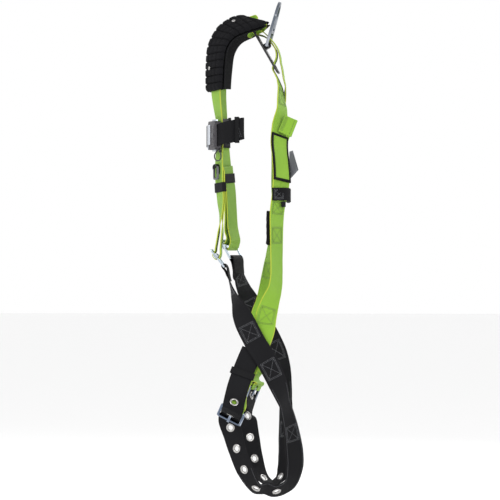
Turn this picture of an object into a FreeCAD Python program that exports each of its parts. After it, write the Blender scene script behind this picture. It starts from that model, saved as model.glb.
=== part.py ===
import FreeCAD, Part
import math
import os

# Full-body fall-arrest harness, hanging by its dorsal D-ring.  Millimetres.
# Origin: the top of the inside of the D-ring's eye.  +Z up, +Y the wearer's back, +X the wearer's left.

os.makedirs("parts", exist_ok=True)

Vec = FreeCAD.Vector
X_AXIS = Vec(1, 0, 0)

# ---- driving dimensions -------------------------------------------------------------------------
WEB_WIDTH = 45.0            # polyester webbing
WEB_THICK = 2.0
PLY_GAP = 3.2               # between the middles of two plies that lie together
STEPS = 4                   # ribbon sections for each span of a route

PAD_WIDTH = 74.0            # shoulder pad
PAD_THICK = 9.0
LINING_THICK = 2.5
PAD_LOW_LEFT = -0.25        # its ends, in stations of the strap's route from the front strap's last bend
PAD_HIGH_LEFT = 5.5
PAD_LOW_RIGHT = 0.1
PAD_HIGH_RIGHT = 5.4

RING_BAR_R = 4.0            # dorsal D-ring
RING_OUTER_HALF = 42.0
RING_THICK = 5.5
RING_SLOT_HALF = 33.0
RING_SLOT_TOP = 26.0
RING_MID_TOP = 33.0
RING_EYE_TOP = 87.0
RING_TOP = 95.5
RING_LEAN = -15.7           # degrees, towards the back
RING_PIVOT = Vec(0, -23.5, -83.7)

PLATE_WIDTH = 84.0          # dorsal plate
PLATE_THICK = 4.0
PLATE_BACK = 9.8            # from the ring's bar to the plate's middle
PLATE_TOP = 47.0
PLATE_BOTTOM = -62.0
PLATE_SLOT_HALF = 34.0
PLATE_TILT = 30.0

RUNNING_FIT = 0.05          # radial clearance of a pivot

ADJUSTER_HALF = 30.0        # torso adjuster
ADJUSTER_ARM = 5.5
ADJUSTER_THICK = 3.5
ADJUSTER_TOP = 3.5
SLIDER_Z = -14.0
SLIDER_HALF_HEIGHT = 4.0
SLIDER_THICK = 3.0
BOTTOM_BAR_Z = -41.0
BOTTOM_BAR_HALF = 3.0

BUCKLE_HALF = 28.0          # leg tongue buckle
BUCKLE_WIRE_R = 2.5
BUCKLE_TOP_BAR = 18.0
BUCKLE_BOTTOM_BAR = -18.0
TONGUE_WIDTH = 5.0

GROMMET_R = 9.5             # grommets
GROMMET_BORE = 5.2
GROMMET_FLANGE = 1.2
GROMMET_PITCH = 46.6
HOLE_R = 6.25

CHEST_HALF_WIDTH = 29.0     # chest quick-connect buckle
CHEST_HALF_HEIGHT = 30.0
CHEST_HALF_DEPTH = 6.5
CHEST_WALL = 3.0
CHEST_YAW = 19.0
CHEST_CENTRE = Vec(84, -130.6, -277)
CHEST_TAB_LOW = -8.5
CHEST_TAB_HIGH = 18.0
CHEST_TAB_FOOT = 25.0

CORD_R = 1.3


# ---- small helpers ------------------------------------------------------------------------------
def unit(vector):
    return vector / vector.Length


def cross(a, b):
    return a.cross(b)


def save(name, shape):
    solids = shape.Solids
    result = solids[0] if len(solids) == 1 else Part.makeCompound(solids)
    if not result.isValid():
        print("not valid:", name)
    result.exportStep("parts/" + name + ".step")


def box(low, high):
    size = [high[i] - low[i] for i in range(3)]
    return Part.makeBox(size[0], size[1], size[2], Vec(*low))


def rod(start, end, radius):
    direction = end - start
    return Part.makeCylinder(radius, direction.Length, start, direction)


def rounded_box(low, high, radius, axis):
    """A box whose four edges along axis (0, 1 or 2) are rounded."""
    solid = box(low, high)
    edges = []
    for edge in solid.Edges:
        tangent = edge.Vertexes[1].Point - edge.Vertexes[0].Point
        if abs(abs(unit(tangent)[axis]) - 1) < 1e-6:
            edges.append(edge)
    return solid.makeFillet(radius, edges)


def frame_placement(origin, x_dir, z_dir):
    """Placement of a local frame from its x and z directions, which are at right angles."""
    y_dir = cross(z_dir, x_dir)
    matrix = FreeCAD.Matrix(x_dir.x, y_dir.x, z_dir.x, origin.x,
                            x_dir.y, y_dir.y, z_dir.y, origin.y,
                            x_dir.z, y_dir.z, z_dir.z, origin.z,
                            0, 0, 0, 1)
    return FreeCAD.Placement(matrix)


def tilted(origin, tilt, yaw=0.0):
    """A frame turned about X by tilt, then about Z by yaw, in degrees."""
    turn = FreeCAD.Rotation(Vec(0, 0, 1), yaw).multiply(FreeCAD.Rotation(X_AXIS, tilt))
    return FreeCAD.Placement(origin, turn)


def placed(shape, placement):
    moved = shape.copy()
    moved.Placement = placement.multiply(moved.Placement)
    return moved


# ---- webbing ------------------------------------------------------------------------------------
# A route is a list of stations (x, y, z, roll).  The roll is the angle of the webbing's width from X,
# in degrees, turning towards X cross the direction of travel, or it is the width direction itself.
def catmull(a, b, c, d, t):
    return (b * 2 + (c - a) * t + (a * 2 - b * 5 + c * 4 - d) * (t * t)
            + (b * 3 - a - c * 3 + d) * (t * t * t)) * 0.5


def sections(route, steps=STEPS):
    """Points, directions and width directions along a smooth line through the stations."""
    points = [Vec(*station[:3]) for station in route]
    last = len(points) - 1
    widths = []
    for i, station in enumerate(route):
        travel = unit(points[min(i + 1, last)] - points[max(i - 1, 0)])
        roll = station[3]
        if isinstance(roll, tuple):
            widths.append(Vec(*roll))
        else:
            angle = math.radians(roll)
            widths.append(X_AXIS * math.cos(angle) + cross(X_AXIS, travel) * math.sin(angle))
    line = []
    spread = []
    for i in range(last):
        before = points[max(i - 1, 0)]
        after = points[min(i + 2, last)]
        for k in range(steps):
            t = k / steps
            line.append(catmull(before, points[i], points[i + 1], after, t))
            spread.append(widths[i] * (1 - t) + widths[i + 1] * t)
    line.append(points[last])
    spread.append(widths[last])
    result = []
    for i, point in enumerate(line):
        travel = unit(line[min(i + 1, len(line) - 1)] - line[max(i - 1, 0)])
        width = spread[i] - travel * spread[i].dot(travel)
        result.append((point, travel, unit(width)))
    return result


def triangle(a, b, c):
    return Part.Face(Part.makePolygon([a, b, c, a]))


def band(spots, width=WEB_WIDTH, thick=WEB_THICK, offset=0.0, shift=0.0):
    """A flat band through sections, faced with triangles, because its sides twist.

    offset moves it along travel cross width, and shift along the width.
    """
    rings = []
    for point, travel, across in spots:
        normal = cross(travel, across)
        middle = point + normal * offset + across * shift
        half = across * (width / 2)
        rise = normal * (thick / 2)
        rings.append([middle - half - rise, middle + half - rise, middle + half + rise, middle - half + rise])
    faces = []
    for ring, after in zip(rings, rings[1:]):
        for k in range(4):
            m = (k + 1) % 4
            faces.append(triangle(ring[k], ring[m], after[m]))
            faces.append(triangle(ring[k], after[m], after[k]))
    for ring in (rings[0], rings[-1]):
        faces.append(triangle(ring[0], ring[1], ring[2]))
        faces.append(triangle(ring[0], ring[2], ring[3]))
    solid = Part.makeSolid(Part.makeShell(faces))
    if solid.Volume < 0:
        solid.reverse()
    return solid


def ribbon(route, width=WEB_WIDTH, thick=WEB_THICK, offset=0.0, steps=STEPS):
    return band(sections(route, steps), width, thick, offset)


def stretch(route, first, last):
    """The sections of a route from one station number to another; both may be fractions."""
    return sections(route)[round(first * STEPS):round(last * STEPS) + 1]


def along(route, distance, start=0):
    """Point, travel and width direction at a distance past station number start."""
    spots = sections(route)
    i = start * STEPS
    step = 1 if distance >= 0 else -1
    left = abs(distance)
    while True:
        gap = (spots[i + step][0] - spots[i][0]).Length
        if gap >= left:
            share = left / gap
            point = spots[i][0] * (1 - share) + spots[i + step][0] * share
            return point, spots[i][1], spots[i][2]
        left -= gap
        i += step


def local_stations(placement, points, width_dir):
    """Stations from (y, z) points in the plane x = 0 of a local frame."""
    result = []
    for y, z in points:
        spot = placement.multVec(Vec(0, y, z))
        result.append((spot.x, spot.y, spot.z, (width_dir.x, width_dir.y, width_dir.z)))
    return result


# ---- where the hardware sits --------------------------------------------------------------------
plate_frame = tilted(RING_PIVOT, PLATE_TILT)
ring_frame = tilted(RING_PIVOT, RING_LEAN)
adjuster_left_frame = tilted(Vec(88, -134.4, -519), 38.0)
adjuster_right_frame = tilted(Vec(-90, -116.5, -498.3), 30.0, -24.0)
buckle_left_frame = frame_placement(Vec(107, -94, -862), unit(Vec(0, 0.89, -0.45)), unit(Vec(0.74, 0.303, 0.6)))
buckle_right_frame = frame_placement(Vec(-104, -66, -830), unit(Vec(0.94, -0.318, 0.1265)),
                                     unit(Vec(0, 0.37, 0.93)))
chest_frame = tilted(CHEST_CENTRE, 0.0, CHEST_YAW)


def width_of(placement):
    return placement.Rotation.multVec(X_AXIS)


def back_of(placement):
    return width_of(placement) * -1


# ---- routes -------------------------------------------------------------------------------------
# Around an adjuster's slider, from the tail to the main ply, as (y, z) in the adjuster's frame.
SLIDER_LOOP = [(18, -6), (11, -15), (4.5, -20.3), (-1.5, -21.2), (-4.6, -18.3), (-5, -14),
               (-4.6, -9.7), (-1.5, -7), (4.5, -5.2), (12, 2)]
# Around an adjuster's bottom bar, from the short sewn ply to the long one.
BAR_LOOP = [(-9.6, -74), (-3.2, -60), (2.2, -50), (4.2, -42.5), (2.9, -37.6), (0, -36.3), (-2.9, -37.6),
            (-4.2, -42.5), (-4.2, -50), (-7.6, -62)]
# Through a tongue buckle: behind its bottom bar, out through the frame, and over its top bar.
BUCKLE_PATH = [(5.5, -29), (4.6, -18), (3.2, -8), (-1.4, 0), (-6.2, 8), (-8.0, 18), (-8.6, 28)]
# The lime webbing's end around the buckle's top bar.
BUCKLE_LOOP = [(7.6, 31), (4.6, 25), (4.1, 18.5), (2.6, 14.9), (0, 13.9), (-2.6, 14.9), (-4.1, 18.5),
               (-2.6, 22.1), (1.2, 25.5)]
# Past the plate, in the plate's frame as (x share, y, z): one strap stays outside the plate, the other
# goes in through the top slot and out through the bottom one, and they cross behind the ring's bar.
PLATE_OVER = [(1.0, 2.6, 40), (0.85, 7.8, 24), (0.55, 11.4, 11), (0, 13.9, -6), (-0.45, 13.6, -20),
              (-0.7, 10.0, -34), (-0.9, 5.0, -46), (-1.0, 1.6, -57)]
PLATE_UNDER = [(1.0, -15.4, 48), (0.9, -13.4, 39), (0.8, -6.0, 30), (0.7, 2.0, 21.5), (0.5, 7.0, 11), (0, 9.6, -6),
               (-0.45, 9.0, -20), (-0.8, 2.5, -33), (-0.95, -9.4, -43), (-1.0, -15.6, -50), (-1.0, -16.4, -60)]
PLATE_SPREAD = 9.0


def crossing(points, side):
    result = []
    for share, y, z in points:
        spot = plate_frame.multVec(Vec(side * share * PLATE_SPREAD, y, z))
        result.append((spot.x, spot.y, spot.z, 0))
    return result


# Front of the harness, upwards from the adjuster to the shoulder.
TAIL_LEFT = [(84, -117.4, -352, 25), (85, -116, -386, 24), (86.4, -113.8, -418, 20), (88, -113, -445, 8),
             (88, -113.5, -480, 0)]
FRONT_LEFT = [(88, -121, -479, 0), (88, -117, -445, -10), (87, -117.4, -418, -20), (86, -119.4, -386, -24),
              (85, -121, -352, -26), (83, -120.5, -315, -22), (80, -118.5, -277, -20), (81, -121, -243, -21),
              (81, -126, -205, -26), (80, -128, -174, -30), (77, -127, -125, -32)]
SHOULDER_LEFT = [(72, -122, -89, -34), (64, -105, -61, -36), (52, -80, -45, -36), (38, -57, -38, -28),
                 (24, -45, -36, (0.5, 0.8, 0))]
TAIL_RIGHT = [(-83.6, -115.2, -338, -22), (-84.8, -112.6, -364, -22), (-86, -109, -390, -22),
              (-88, -107, -430, -23), (-89, -105, -468, -24)]
FRONT_RIGHT = [(-89, -112, -476, 24), (-88, -112, -450, 23), (-87, -112.4, -411, 22), (-86, -115.8, -364, 22),
               (-85, -119.5, -330, 22), (-83, -124.5, -280, 23), (-82, -127, -240, 24), (-80, -130, -180, 26),
               (-77, -127, -125, 28)]
SHOULDER_RIGHT = [(-72, -121, -89, 30), (-64, -104, -62, 32), (-52, -79, -47, 32), (-38, -58, -40, 16),
                  (-27, -55, -39.5, -3)]

# Back of the harness, downwards from the plate to the leg buckle.
BACK_LEFT = [(8, 0, -160, -2), (14, 4.5, -176, -9), (23, 6.2, -198, -16), (29, 8, -222, -26),
             (36, 4, -256, (0.66, -0.66, 0.3)), (48, 2, -295, (0.62, -0.70, 0.36)),
             (60, 6, -331, (0.62, -0.70, 0.36)), (72, 9, -373, (0.64, -0.72, 0.26)),
             (79, 5, -407, (0.76, -0.65, 0.1)), (82, 1, -437, -38), (83, 0, -471, -34), (83, 0, -502, -32),
             (84, 0, -538, -30), (85, 0, -570, -30), (87, -3, -598, -36), (90, -13, -627, -56),
             (92, -21, -655, -78), (93, -26, -687, -90), (93.5, -38, -719, -90), (94, -54, -750, -90),
             (95, -70, -784, -90), (98, -82, -812, (0, -0.9, 0.42))]
BACK_RIGHT = [(-9, 9.5, -152, 0), (-15, 13, -174, 3), (-25, 8.8, -204, 15), (-34, -4, -245, 30),
              (-46, -7, -295, 34), (-58, -8, -340, 34), (-68, -9, -385, 34), (-74, -8, -425, 32),
              (-78, -10, -464, 30), (-80, -18, -502, 28), (-82, -25, -534, 26), (-84, -28, -570, 42),
              (-87, -30, -602, 60), (-90, -34, -628, 76), (-92, -43, -655, 86), (-93, -49, -682, 90),
              (-93.5, -54, -712, 90), (-95, -57, -745, 100), (-99, -57, -775, 128),
              (-102, -56, -795, (-0.94, 0.318, -0.1265))]

# Black leg webbing: from the adjuster's bottom bar, past the hip, down the back, round the bottom.
LEG_LEFT = [(92, -93, -600, 12), (94, -84, -625, 30), (97, -74, -649, 62), (99, -62, -676, 86),
            (100, -42, -714, 90), (99, -19, -750, 100), (93, 3, -797, 122), (84, 17, -840, 152),
            (72, 29, -890, 140), (63, 36, -938, 128), (59, 37, -972, 130), (60, 29, -1005, 145),
            (64, 13, -1024, 162), (70, -5, -1031, 168), (77, -23, -1030, 160), (85, -44, -1016, 142),
            (89, -66, -980, 125), (86, -82, -938, 120), (78.5, -92.5, -904, 112)]
TAIL_UP_LEFT = [(131.5, -86.5, -839, (0, -0.9, 0.42)), (121.5, -84, -825, (0, -0.9, 0.42)),
                (112, -78, -800, (0, -0.92, 0.38)),
                (104, -70, -776, 92), (98.5, -60, -750, 90), (96.8, -50, -727, 90)]
LEG_RIGHT = [(-92.5, -91, -575, -26), (-94, -80, -604, -40), (-96.5, -65, -636, -72), (-98.5, -47, -668, -88),
             (-100, -28, -702, -90), (-99, -11, -738, -98), (-95, -1, -772, -112), (-91, 5, -806, -128),
             (-87, 9, -840, -140), (-83, 10, -880, -136), (-80, 11, -920, -128), (-78, 11, -960, -126),
             (-76, 5, -992, -138), (-75, -8, -1011, (-0.9, 0, 0.42)), (-76, -24, -1016, (-0.95, 0, 0.25)), (-80, -43, -1000, -150),
             (-84, -58, -965, -128), (-88, -67, -925, -118), (-93, -72, -885, -126),
             (-98, -74, -868, (-0.8, 0.58, -0.1))]
TAIL_UP_RIGHT = [(-107, -62, -794, (-0.94, 0.318, -0.1265)), (-104, -62, -770, -125),
                 (-103.5, -60, -746, -95), (-102, -56, -722, -90)]


def main_route(side, tail, front, shoulder, plate_points, back):
    """One lime strap: tail, adjuster, front, shoulder, dorsal crossing, back and leg buckle."""
    adjuster = adjuster_left_frame if side > 0 else adjuster_right_frame
    buckle = buckle_right_frame if side > 0 else buckle_left_frame
    loop = local_stations(adjuster, SLIDER_LOOP, width_of(adjuster))
    end = local_stations(buckle, BUCKLE_LOOP, back_of(buckle))
    return tail + loop + front + shoulder + crossing(plate_points, side) + back + end


def leg_route(side):
    """One black leg strap: adjuster loop, hip, thigh, buckle and tail."""
    adjuster = adjuster_left_frame if side > 0 else adjuster_right_frame
    buckle = buckle_left_frame if side > 0 else buckle_right_frame
    loop = local_stations(adjuster, BAR_LOOP, width_of(adjuster))
    through = local_stations(buckle, BUCKLE_PATH, back_of(buckle))
    leg = LEG_LEFT if side > 0 else LEG_RIGHT
    tail = TAIL_UP_LEFT if side > 0 else TAIL_UP_RIGHT
    return loop + leg + through + tail, len(loop) + len(leg) + BUCKLE_PATH.index((-1.4, 0))


strap_a = main_route(1, TAIL_LEFT, FRONT_LEFT, SHOULDER_LEFT, PLATE_OVER, BACK_RIGHT)
strap_b = main_route(-1, TAIL_RIGHT, FRONT_RIGHT, SHOULDER_RIGHT, PLATE_UNDER, BACK_LEFT)
leg_left, hole_left = leg_route(1)
leg_right, hole_right = leg_route(-1)


# ---- lime straps --------------------------------------------------------------------------------
def make_main_straps():
    """Each strap ends in two strips round its buckle's bar, with the tongue's eye between them."""
    tongue_room = 9.0
    strip = (WEB_WIDTH - tongue_room) / 2
    shift = (tongue_room + strip) / 2
    for name, route, side in (("strap_left_shoulder_right_leg", strap_a, "right"),
                              ("strap_right_shoulder_left_leg", strap_b, "left")):
        spots = sections(route)
        loop_start = (len(route) - len(BUCKLE_LOOP) + 1) * STEPS
        save(name, band(spots[:loop_start + 1]))
        loops = [band(spots[loop_start:], width=strip, shift=away) for away in (-shift, shift)]
        save("buckle_loop_" + side, Part.makeCompound(loops))


# ---- shoulder pads ------------------------------------------------------------------------------
def make_pads():
    outer = -(WEB_THICK / 2 + 0.8 + PAD_THICK / 2)
    inner = WEB_THICK / 2 + 1.2 + LINING_THICK / 2
    snap_reach = 0.9
    for side, route, front, low, high in (("left", strap_a, FRONT_LEFT, PAD_LOW_LEFT, PAD_HIGH_LEFT),
                                          ("right", strap_b, FRONT_RIGHT, PAD_LOW_RIGHT, PAD_HIGH_RIGHT)):
        first = route.index(front[-2])
        spots = stretch(route, first + low, first + high)
        save("shoulder_pad_" + side, band(spots, PAD_WIDTH, PAD_THICK, outer))
        save("pad_lining_" + side, band(spots, PAD_WIDTH, LINING_THICK, inner))
        snaps = []
        for share in (0.24, 0.78):
            point, travel, across = spots[round(share * (len(spots) - 1))]
            outward = cross(travel, across) * -1
            face = point + outward * (-outer + PAD_THICK / 2) + across * (-12)
            snaps.append(Part.makeCylinder(4.0, snap_reach + 3.0, face - outward * 3.0, outward))
        save("pad_snaps_" + side, Part.makeCompound(snaps))


# ---- dorsal plate and D-ring --------------------------------------------------------------------
def make_dorsal():
    middle = -PLATE_BACK
    half = PLATE_THICK / 2
    plate = rounded_box((-PLATE_WIDTH / 2, middle - half, PLATE_BOTTOM),
                        (PLATE_WIDTH / 2, middle + half, PLATE_TOP), 12.0, 1)
    for low, high in ((27.5, 39.5), (-50.5, -37.5)):
        plate = plate.cut(rounded_box((-PLATE_SLOT_HALF, middle - half - 1, low),
                                      (PLATE_SLOT_HALF, middle + half + 1, high), 3.0, 1))
    boss_half = 11.0
    boss_r = 6.2
    boss = rod(Vec(-boss_half, 0, 0), Vec(boss_half, 0, 0), boss_r)
    boss = boss.fuse(box((-boss_half, middle, -boss_r), (boss_half, 0, boss_r)))
    bore = rod(Vec(-boss_half - 1, 0, 0), Vec(boss_half + 1, 0, 0), RING_BAR_R + RUNNING_FIT)
    save("dorsal_plate", placed(plate.fuse(boss).cut(bore), plate_frame))

    bar = rod(Vec(-RING_SLOT_HALF - 2, 0, 0), Vec(RING_SLOT_HALF + 2, 0, 0), RING_BAR_R)
    thick = RING_THICK / 2
    shoulder_z = 30.0
    crown_r = 34.0
    crown_z = RING_TOP - crown_r
    outline = Part.makePolygon([Vec(-RING_OUTER_HALF, -thick, -RING_BAR_R), Vec(RING_OUTER_HALF, -thick, -RING_BAR_R),
                                Vec(RING_OUTER_HALF, -thick, shoulder_z), Vec(crown_r, -thick, crown_z),
                                Vec(-crown_r, -thick, crown_z), Vec(-RING_OUTER_HALF, -thick, shoulder_z),
                                Vec(-RING_OUTER_HALF, -thick, -RING_BAR_R)])
    body = Part.Face(outline).extrude(Vec(0, RING_THICK, 0))
    body = body.fuse(Part.makeCylinder(crown_r, RING_THICK, Vec(0, -thick, crown_z), Vec(0, 1, 0)))
    eye_r = RING_EYE_TOP - crown_z
    eye = Part.makeCylinder(eye_r, RING_THICK + 2, Vec(0, -thick - 1, crown_z), Vec(0, 1, 0))
    eye_foot = rounded_box((-eye_r, -thick - 1, RING_MID_TOP), (eye_r, thick + 1, crown_z), 6.0, 1)
    slot = rounded_box((-RING_SLOT_HALF, -thick - 1, -RING_BAR_R - 1),
                       (RING_SLOT_HALF, thick + 1, RING_SLOT_TOP), 2.0, 1)
    ring = body.cut(eye.fuse(box((-eye_r, -thick - 1, crown_z - 12), (eye_r, thick + 1, crown_z))))
    ring = ring.cut(eye_foot).cut(slot).fuse(bar)
    save("dorsal_d_ring", placed(ring.removeSplitter(), ring_frame))


# ---- torso adjusters ----------------------------------------------------------------------------
def make_adjusters():
    half = ADJUSTER_THICK / 2
    inner = ADJUSTER_HALF - ADJUSTER_ARM
    frame = rounded_box((-ADJUSTER_HALF, -half, BOTTOM_BAR_Z - BOTTOM_BAR_HALF),
                        (ADJUSTER_HALF, half, ADJUSTER_TOP), 4.0, 1)
    window = box((-inner, -half - 1, BOTTOM_BAR_Z + BOTTOM_BAR_HALF), (inner, half + 1, -ADJUSTER_TOP))
    frame = frame.cut(window)

    slider_half = SLIDER_THICK / 2
    low = SLIDER_Z - SLIDER_HALF_HEIGHT
    high = SLIDER_Z + SLIDER_HALF_HEIGHT
    lug_low = half + 0.3
    lug_high = half + 2.3
    link = WEB_WIDTH / 2 + 0.5
    slider = box((-inner + 0.2, -slider_half, low), (inner - 0.2, slider_half, high))
    for side in (-1, 1):
        for face in (-1, 1):
            y_edges = sorted((face * lug_low, face * lug_high))
            x_edges = sorted((side * link, side * (ADJUSTER_HALF + 0.5)))
            slider = slider.fuse(box((x_edges[0], y_edges[0], low), (x_edges[1], y_edges[1], high)))
        x_edges = sorted((side * link, side * (inner - 0.2)))
        slider = slider.fuse(box((x_edges[0], -lug_high, low), (x_edges[1], lug_high, high)))
    for side, placement in (("left", adjuster_left_frame), ("right", adjuster_right_frame)):
        save("adjuster_frame_" + side, placed(frame, placement))
        save("adjuster_slider_" + side, placed(slider.removeSplitter(), placement))


# ---- leg straps, grommets and tongue buckles ----------------------------------------------------
def grommet():
    """A two-flange eyelet about the origin, its axis along Z."""
    hold = WEB_THICK + 0.5
    depth = hold / 2 + GROMMET_FLANGE
    base = Vec(0, 0, -depth)
    solid = Part.makeCylinder(GROMMET_R, 2 * depth, base)
    groove = Part.makeCylinder(GROMMET_R + 1, hold, Vec(0, 0, -hold / 2))
    groove = groove.cut(Part.makeCylinder(HOLE_R - 0.2, hold, Vec(0, 0, -hold / 2)))
    solid = solid.cut(groove)
    solid = solid.makeFillet(0.6, [e for e in solid.Edges
                                   if isinstance(e.Curve, Part.Circle) and abs(e.Curve.Radius - GROMMET_R) < 1e-6
                                   and abs(abs(e.Curve.Center.z) - depth) < 1e-6])
    return solid.cut(Part.makeCylinder(GROMMET_BORE, 2 * depth + 2, base - Vec(0, 0, 1)))


def make_legs():
    for side, route, hole in (("left", leg_left, hole_left), ("right", leg_right, hole_right)):
        strap = ribbon(route)
        rings = []
        for number in range(-5, 2):
            point, travel, across = along(route, number * GROMMET_PITCH, hole)
            normal = cross(travel, across)
            strap = strap.cut(Part.makeCylinder(HOLE_R, 12.0, point - normal * 6, normal))
            rings.append(placed(grommet(), frame_placement(point, across, normal)))
        save("leg_strap_" + side, strap)
        save("grommets_" + side, Part.makeCompound(rings))


def make_buckles():
    corner = 6.0
    wire = BUCKLE_WIRE_R
    half = BUCKLE_HALF - wire
    top = BUCKLE_TOP_BAR
    bottom = BUCKLE_BOTTOM_BAR
    outer = rounded_box((-half - wire, -wire, bottom - wire), (half + wire, wire, top + wire), corner, 1)
    inner = rounded_box((-half + wire, -wire - 1, bottom + wire), (half - wire, wire + 1, top - wire), corner - 3, 1)
    frame = outer.cut(inner)
    trim = box((-half + wire + 0.5, -wire - 1, top - wire - 1), (half - wire - 0.5, wire + 1, top + wire + 1))
    frame = frame.cut(trim).fuse(rod(Vec(-half, 0, top), Vec(half, 0, top), wire))

    eye = rod(Vec(-TONGUE_WIDTH / 2, 0, top), Vec(TONGUE_WIDTH / 2, 0, top), wire + 1.9)
    shank_thick = 3.0
    rest = -wire - shank_thick / 2 - 0.25
    shank = [(1.4, top - wire), (1.8, 9.0), (1.2, 3.0), (-2.2, -2.0), (rest, -8.0), (rest, bottom - wire)]
    stations = [(0, y, z, (1, 0, 0)) for y, z in shank]
    tongue = eye.fuse(ribbon(stations, TONGUE_WIDTH, shank_thick))
    tongue = tongue.cut(rod(Vec(-5, 0, top), Vec(5, 0, top), wire + RUNNING_FIT))
    for name, placement in (("left", buckle_left_frame), ("right", buckle_right_frame)):
        save("leg_buckle_frame_" + name, placed(frame, placement))
        save("leg_buckle_tongue_" + name, placed(tongue, placement))


# ---- chest buckle -------------------------------------------------------------------------------
def make_chest_buckle():
    wide, high, deep = CHEST_HALF_WIDTH, CHEST_HALF_HEIGHT, CHEST_HALF_DEPTH
    wall = CHEST_WALL
    shell = rounded_box((-wide, -deep, -high), (wide, deep, high), 7.0, 1)
    cavity = box((-wide + wall, -deep + wall, -high + wall), (wide - wall, deep - wall, high - wall))
    mouth = box((-wide - 1, -1.5, -18), (-wide + wall + 1, 1.5, 18))
    windows = box((CHEST_TAB_LOW - 0.5, -2.9, -high - 1), (CHEST_TAB_HIGH + 0.5, 2.9, high + 1))
    ribs = box((11.5, -deep + wall, -11), (18.5, deep - wall, 11))
    rear_slot = box((wide - wall - 1, -2.2, -23.5), (wide + 1, 2.2, 23.5))
    shell = shell.cut(cavity).cut(mouth).cut(windows).cut(rear_slot).fuse(ribs)
    rivet_spots = [(x, z) for x in (-wide + 7, wide - 7) for z in (-high + 7, high - 7)]
    rivets = []
    for x, z in rivet_spots:
        post = rod(Vec(x, -deep + wall, z), Vec(x, deep - wall, z), 3.2)
        shell = shell.fuse(post)
    for x, z in rivet_spots:
        shell = shell.cut(rod(Vec(x, -deep - 1, z), Vec(x, deep + 1, z), 1.53))
        shell = shell.cut(rod(Vec(x, deep - 0.9, z), Vec(x, deep + 1, z), 2.6))
        rivet = rod(Vec(x, -deep + 1.0, z), Vec(x, deep - 0.9, z), 1.5)
        rivets.append(rivet.fuse(rod(Vec(x, deep - 0.9, z), Vec(x, deep - 0.1, z), 2.5)))
    split = 0.05
    rear = shell.common(box((-wide - 1, split, -high - 1), (wide + 1, deep + 1, high + 1)))
    front = shell.common(box((-wide - 1, -deep - 1, -high - 1), (wide + 1, -split, high + 1)))
    save("chest_buckle_body", placed(rear, chest_frame))
    save("chest_buckle_cover", placed(front, chest_frame))
    save("chest_buckle_rivets", placed(Part.makeCompound(rivets), chest_frame))

    # The latch plate: a tongue in the buckle and a slotted end outside it for the right chest strap.
    plate = box((-wide - 2, -1.1, -15), (6, 1.1, 15))
    end = rounded_box((-wide - 15, -1.1, -29), (-wide - 1, 1.1, 29), 4.0, 1)
    plate = plate.fuse(end).cut(box((-wide - 10, -2, -23.5), (-wide - 3.5, 2, 23.5)))
    for side in (-1, 1):
        z_edges = sorted((side * 12, side * 16))
        plate = plate.cut(box((-4, -2, z_edges[0]), (1, 2, z_edges[1])))
    save("chest_latch_plate", placed(plate.removeSplitter(), chest_frame))

    # Each release tab reaches past the tongue to a tooth in the notch on its other edge.
    for name, side in (("upper", 1), ("lower", -1)):
        z_edges = sorted((side * CHEST_TAB_FOOT, side * (high + 3.5)))
        tab = box((CHEST_TAB_LOW, -2.5, z_edges[0]), (CHEST_TAB_HIGH, 2.5, z_edges[1]))
        y_edges = sorted((side * 1.5, side * 2.6))
        z_edges = sorted((side * -18.5, side * (CHEST_TAB_FOOT + 1)))
        tab = tab.fuse(box((-3.5, y_edges[0], z_edges[0]), (0.5, y_edges[1], z_edges[1])))
        y_edges = sorted((side * -0.9, side * 2.6))
        z_edges = sorted((side * -18.5, side * -15.4))
        tab = tab.fuse(box((-3.5, y_edges[0], z_edges[0]), (0.5, y_edges[1], z_edges[1])))
        y_edges = sorted((side * -0.9, side * 0.9))
        z_edges = sorted((side * -16, side * -12.6))
        tab = tab.fuse(box((-3.5, y_edges[0], z_edges[0]), (0.5, y_edges[1], z_edges[1])))
        save("release_tab_" + name, placed(tab.removeSplitter(), chest_frame))

        ends = sorted((side * 11.0, side * CHEST_TAB_FOOT))
        spring = rod(Vec(15, 0, ends[0]), Vec(15, 0, ends[1]), 2.2)
        spring = spring.cut(rod(Vec(15, 0, ends[0] - 1), Vec(15, 0, ends[1] + 1), 1.5))
        save("release_spring_" + name, placed(spring, chest_frame))


# ---- chest webbing ------------------------------------------------------------------------------
UP = (0, 0, 1)
CHEST_LEFT = [(120, -112.6, -274, UP), (122, -104.5, -272, UP), (115, -94.5, -269, UP),
              (100.5, -84, -266, UP), (97, -74, -263, UP), (92, -68.5, -262, UP), (87.5, -73, -263, UP),
              (88, -84, -266, UP), (90, -97, -270, UP), (89, -107.5, -272, UP)]
CHEST_RIGHT = [(-8, -153.5, -277, UP), (-30, -149.5, -276, UP), (-50, -144.5, -276, UP), (-68, -138.8, -276, UP),
               (-88, -130.8, -276, UP), (-104.5, -123, -276, UP), (-110, -116.5, -276, UP),
               (-102, -112, -276, UP), (-86, -117.6, -276, UP), (-66, -126.4, -276, UP)]
# Around the latch plate's end bar, as (x, y) in the buckle's frame.
LATCH_LOOP = [(-56, 4.2), (-47, 3.8), (-40, 3.2), (-36.8, 2.4), (-35.6, 0), (-36.8, -2.4),
              (-40, -3.2), (-47, -3.4)]


def chest_stations(points):
    result = []
    for x, y in points:
        spot = chest_frame.multVec(Vec(x, y, 0))
        result.append((spot.x, spot.y, spot.z, UP))
    return result


def make_chest_webbing():
    save("chest_strap_left", ribbon(chest_stations([(27.4, 0), (30.8, 0.2)]) + CHEST_LEFT))
    save("chest_strap_right", ribbon(chest_stations(LATCH_LOOP) + CHEST_RIGHT))
    keeper = box((81.5, -87, -293), (106.5, -78, -238)).cut(box((83, -88, -291.5), (105, -77, -239.5)))
    save("chest_strap_keeper", keeper)


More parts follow.
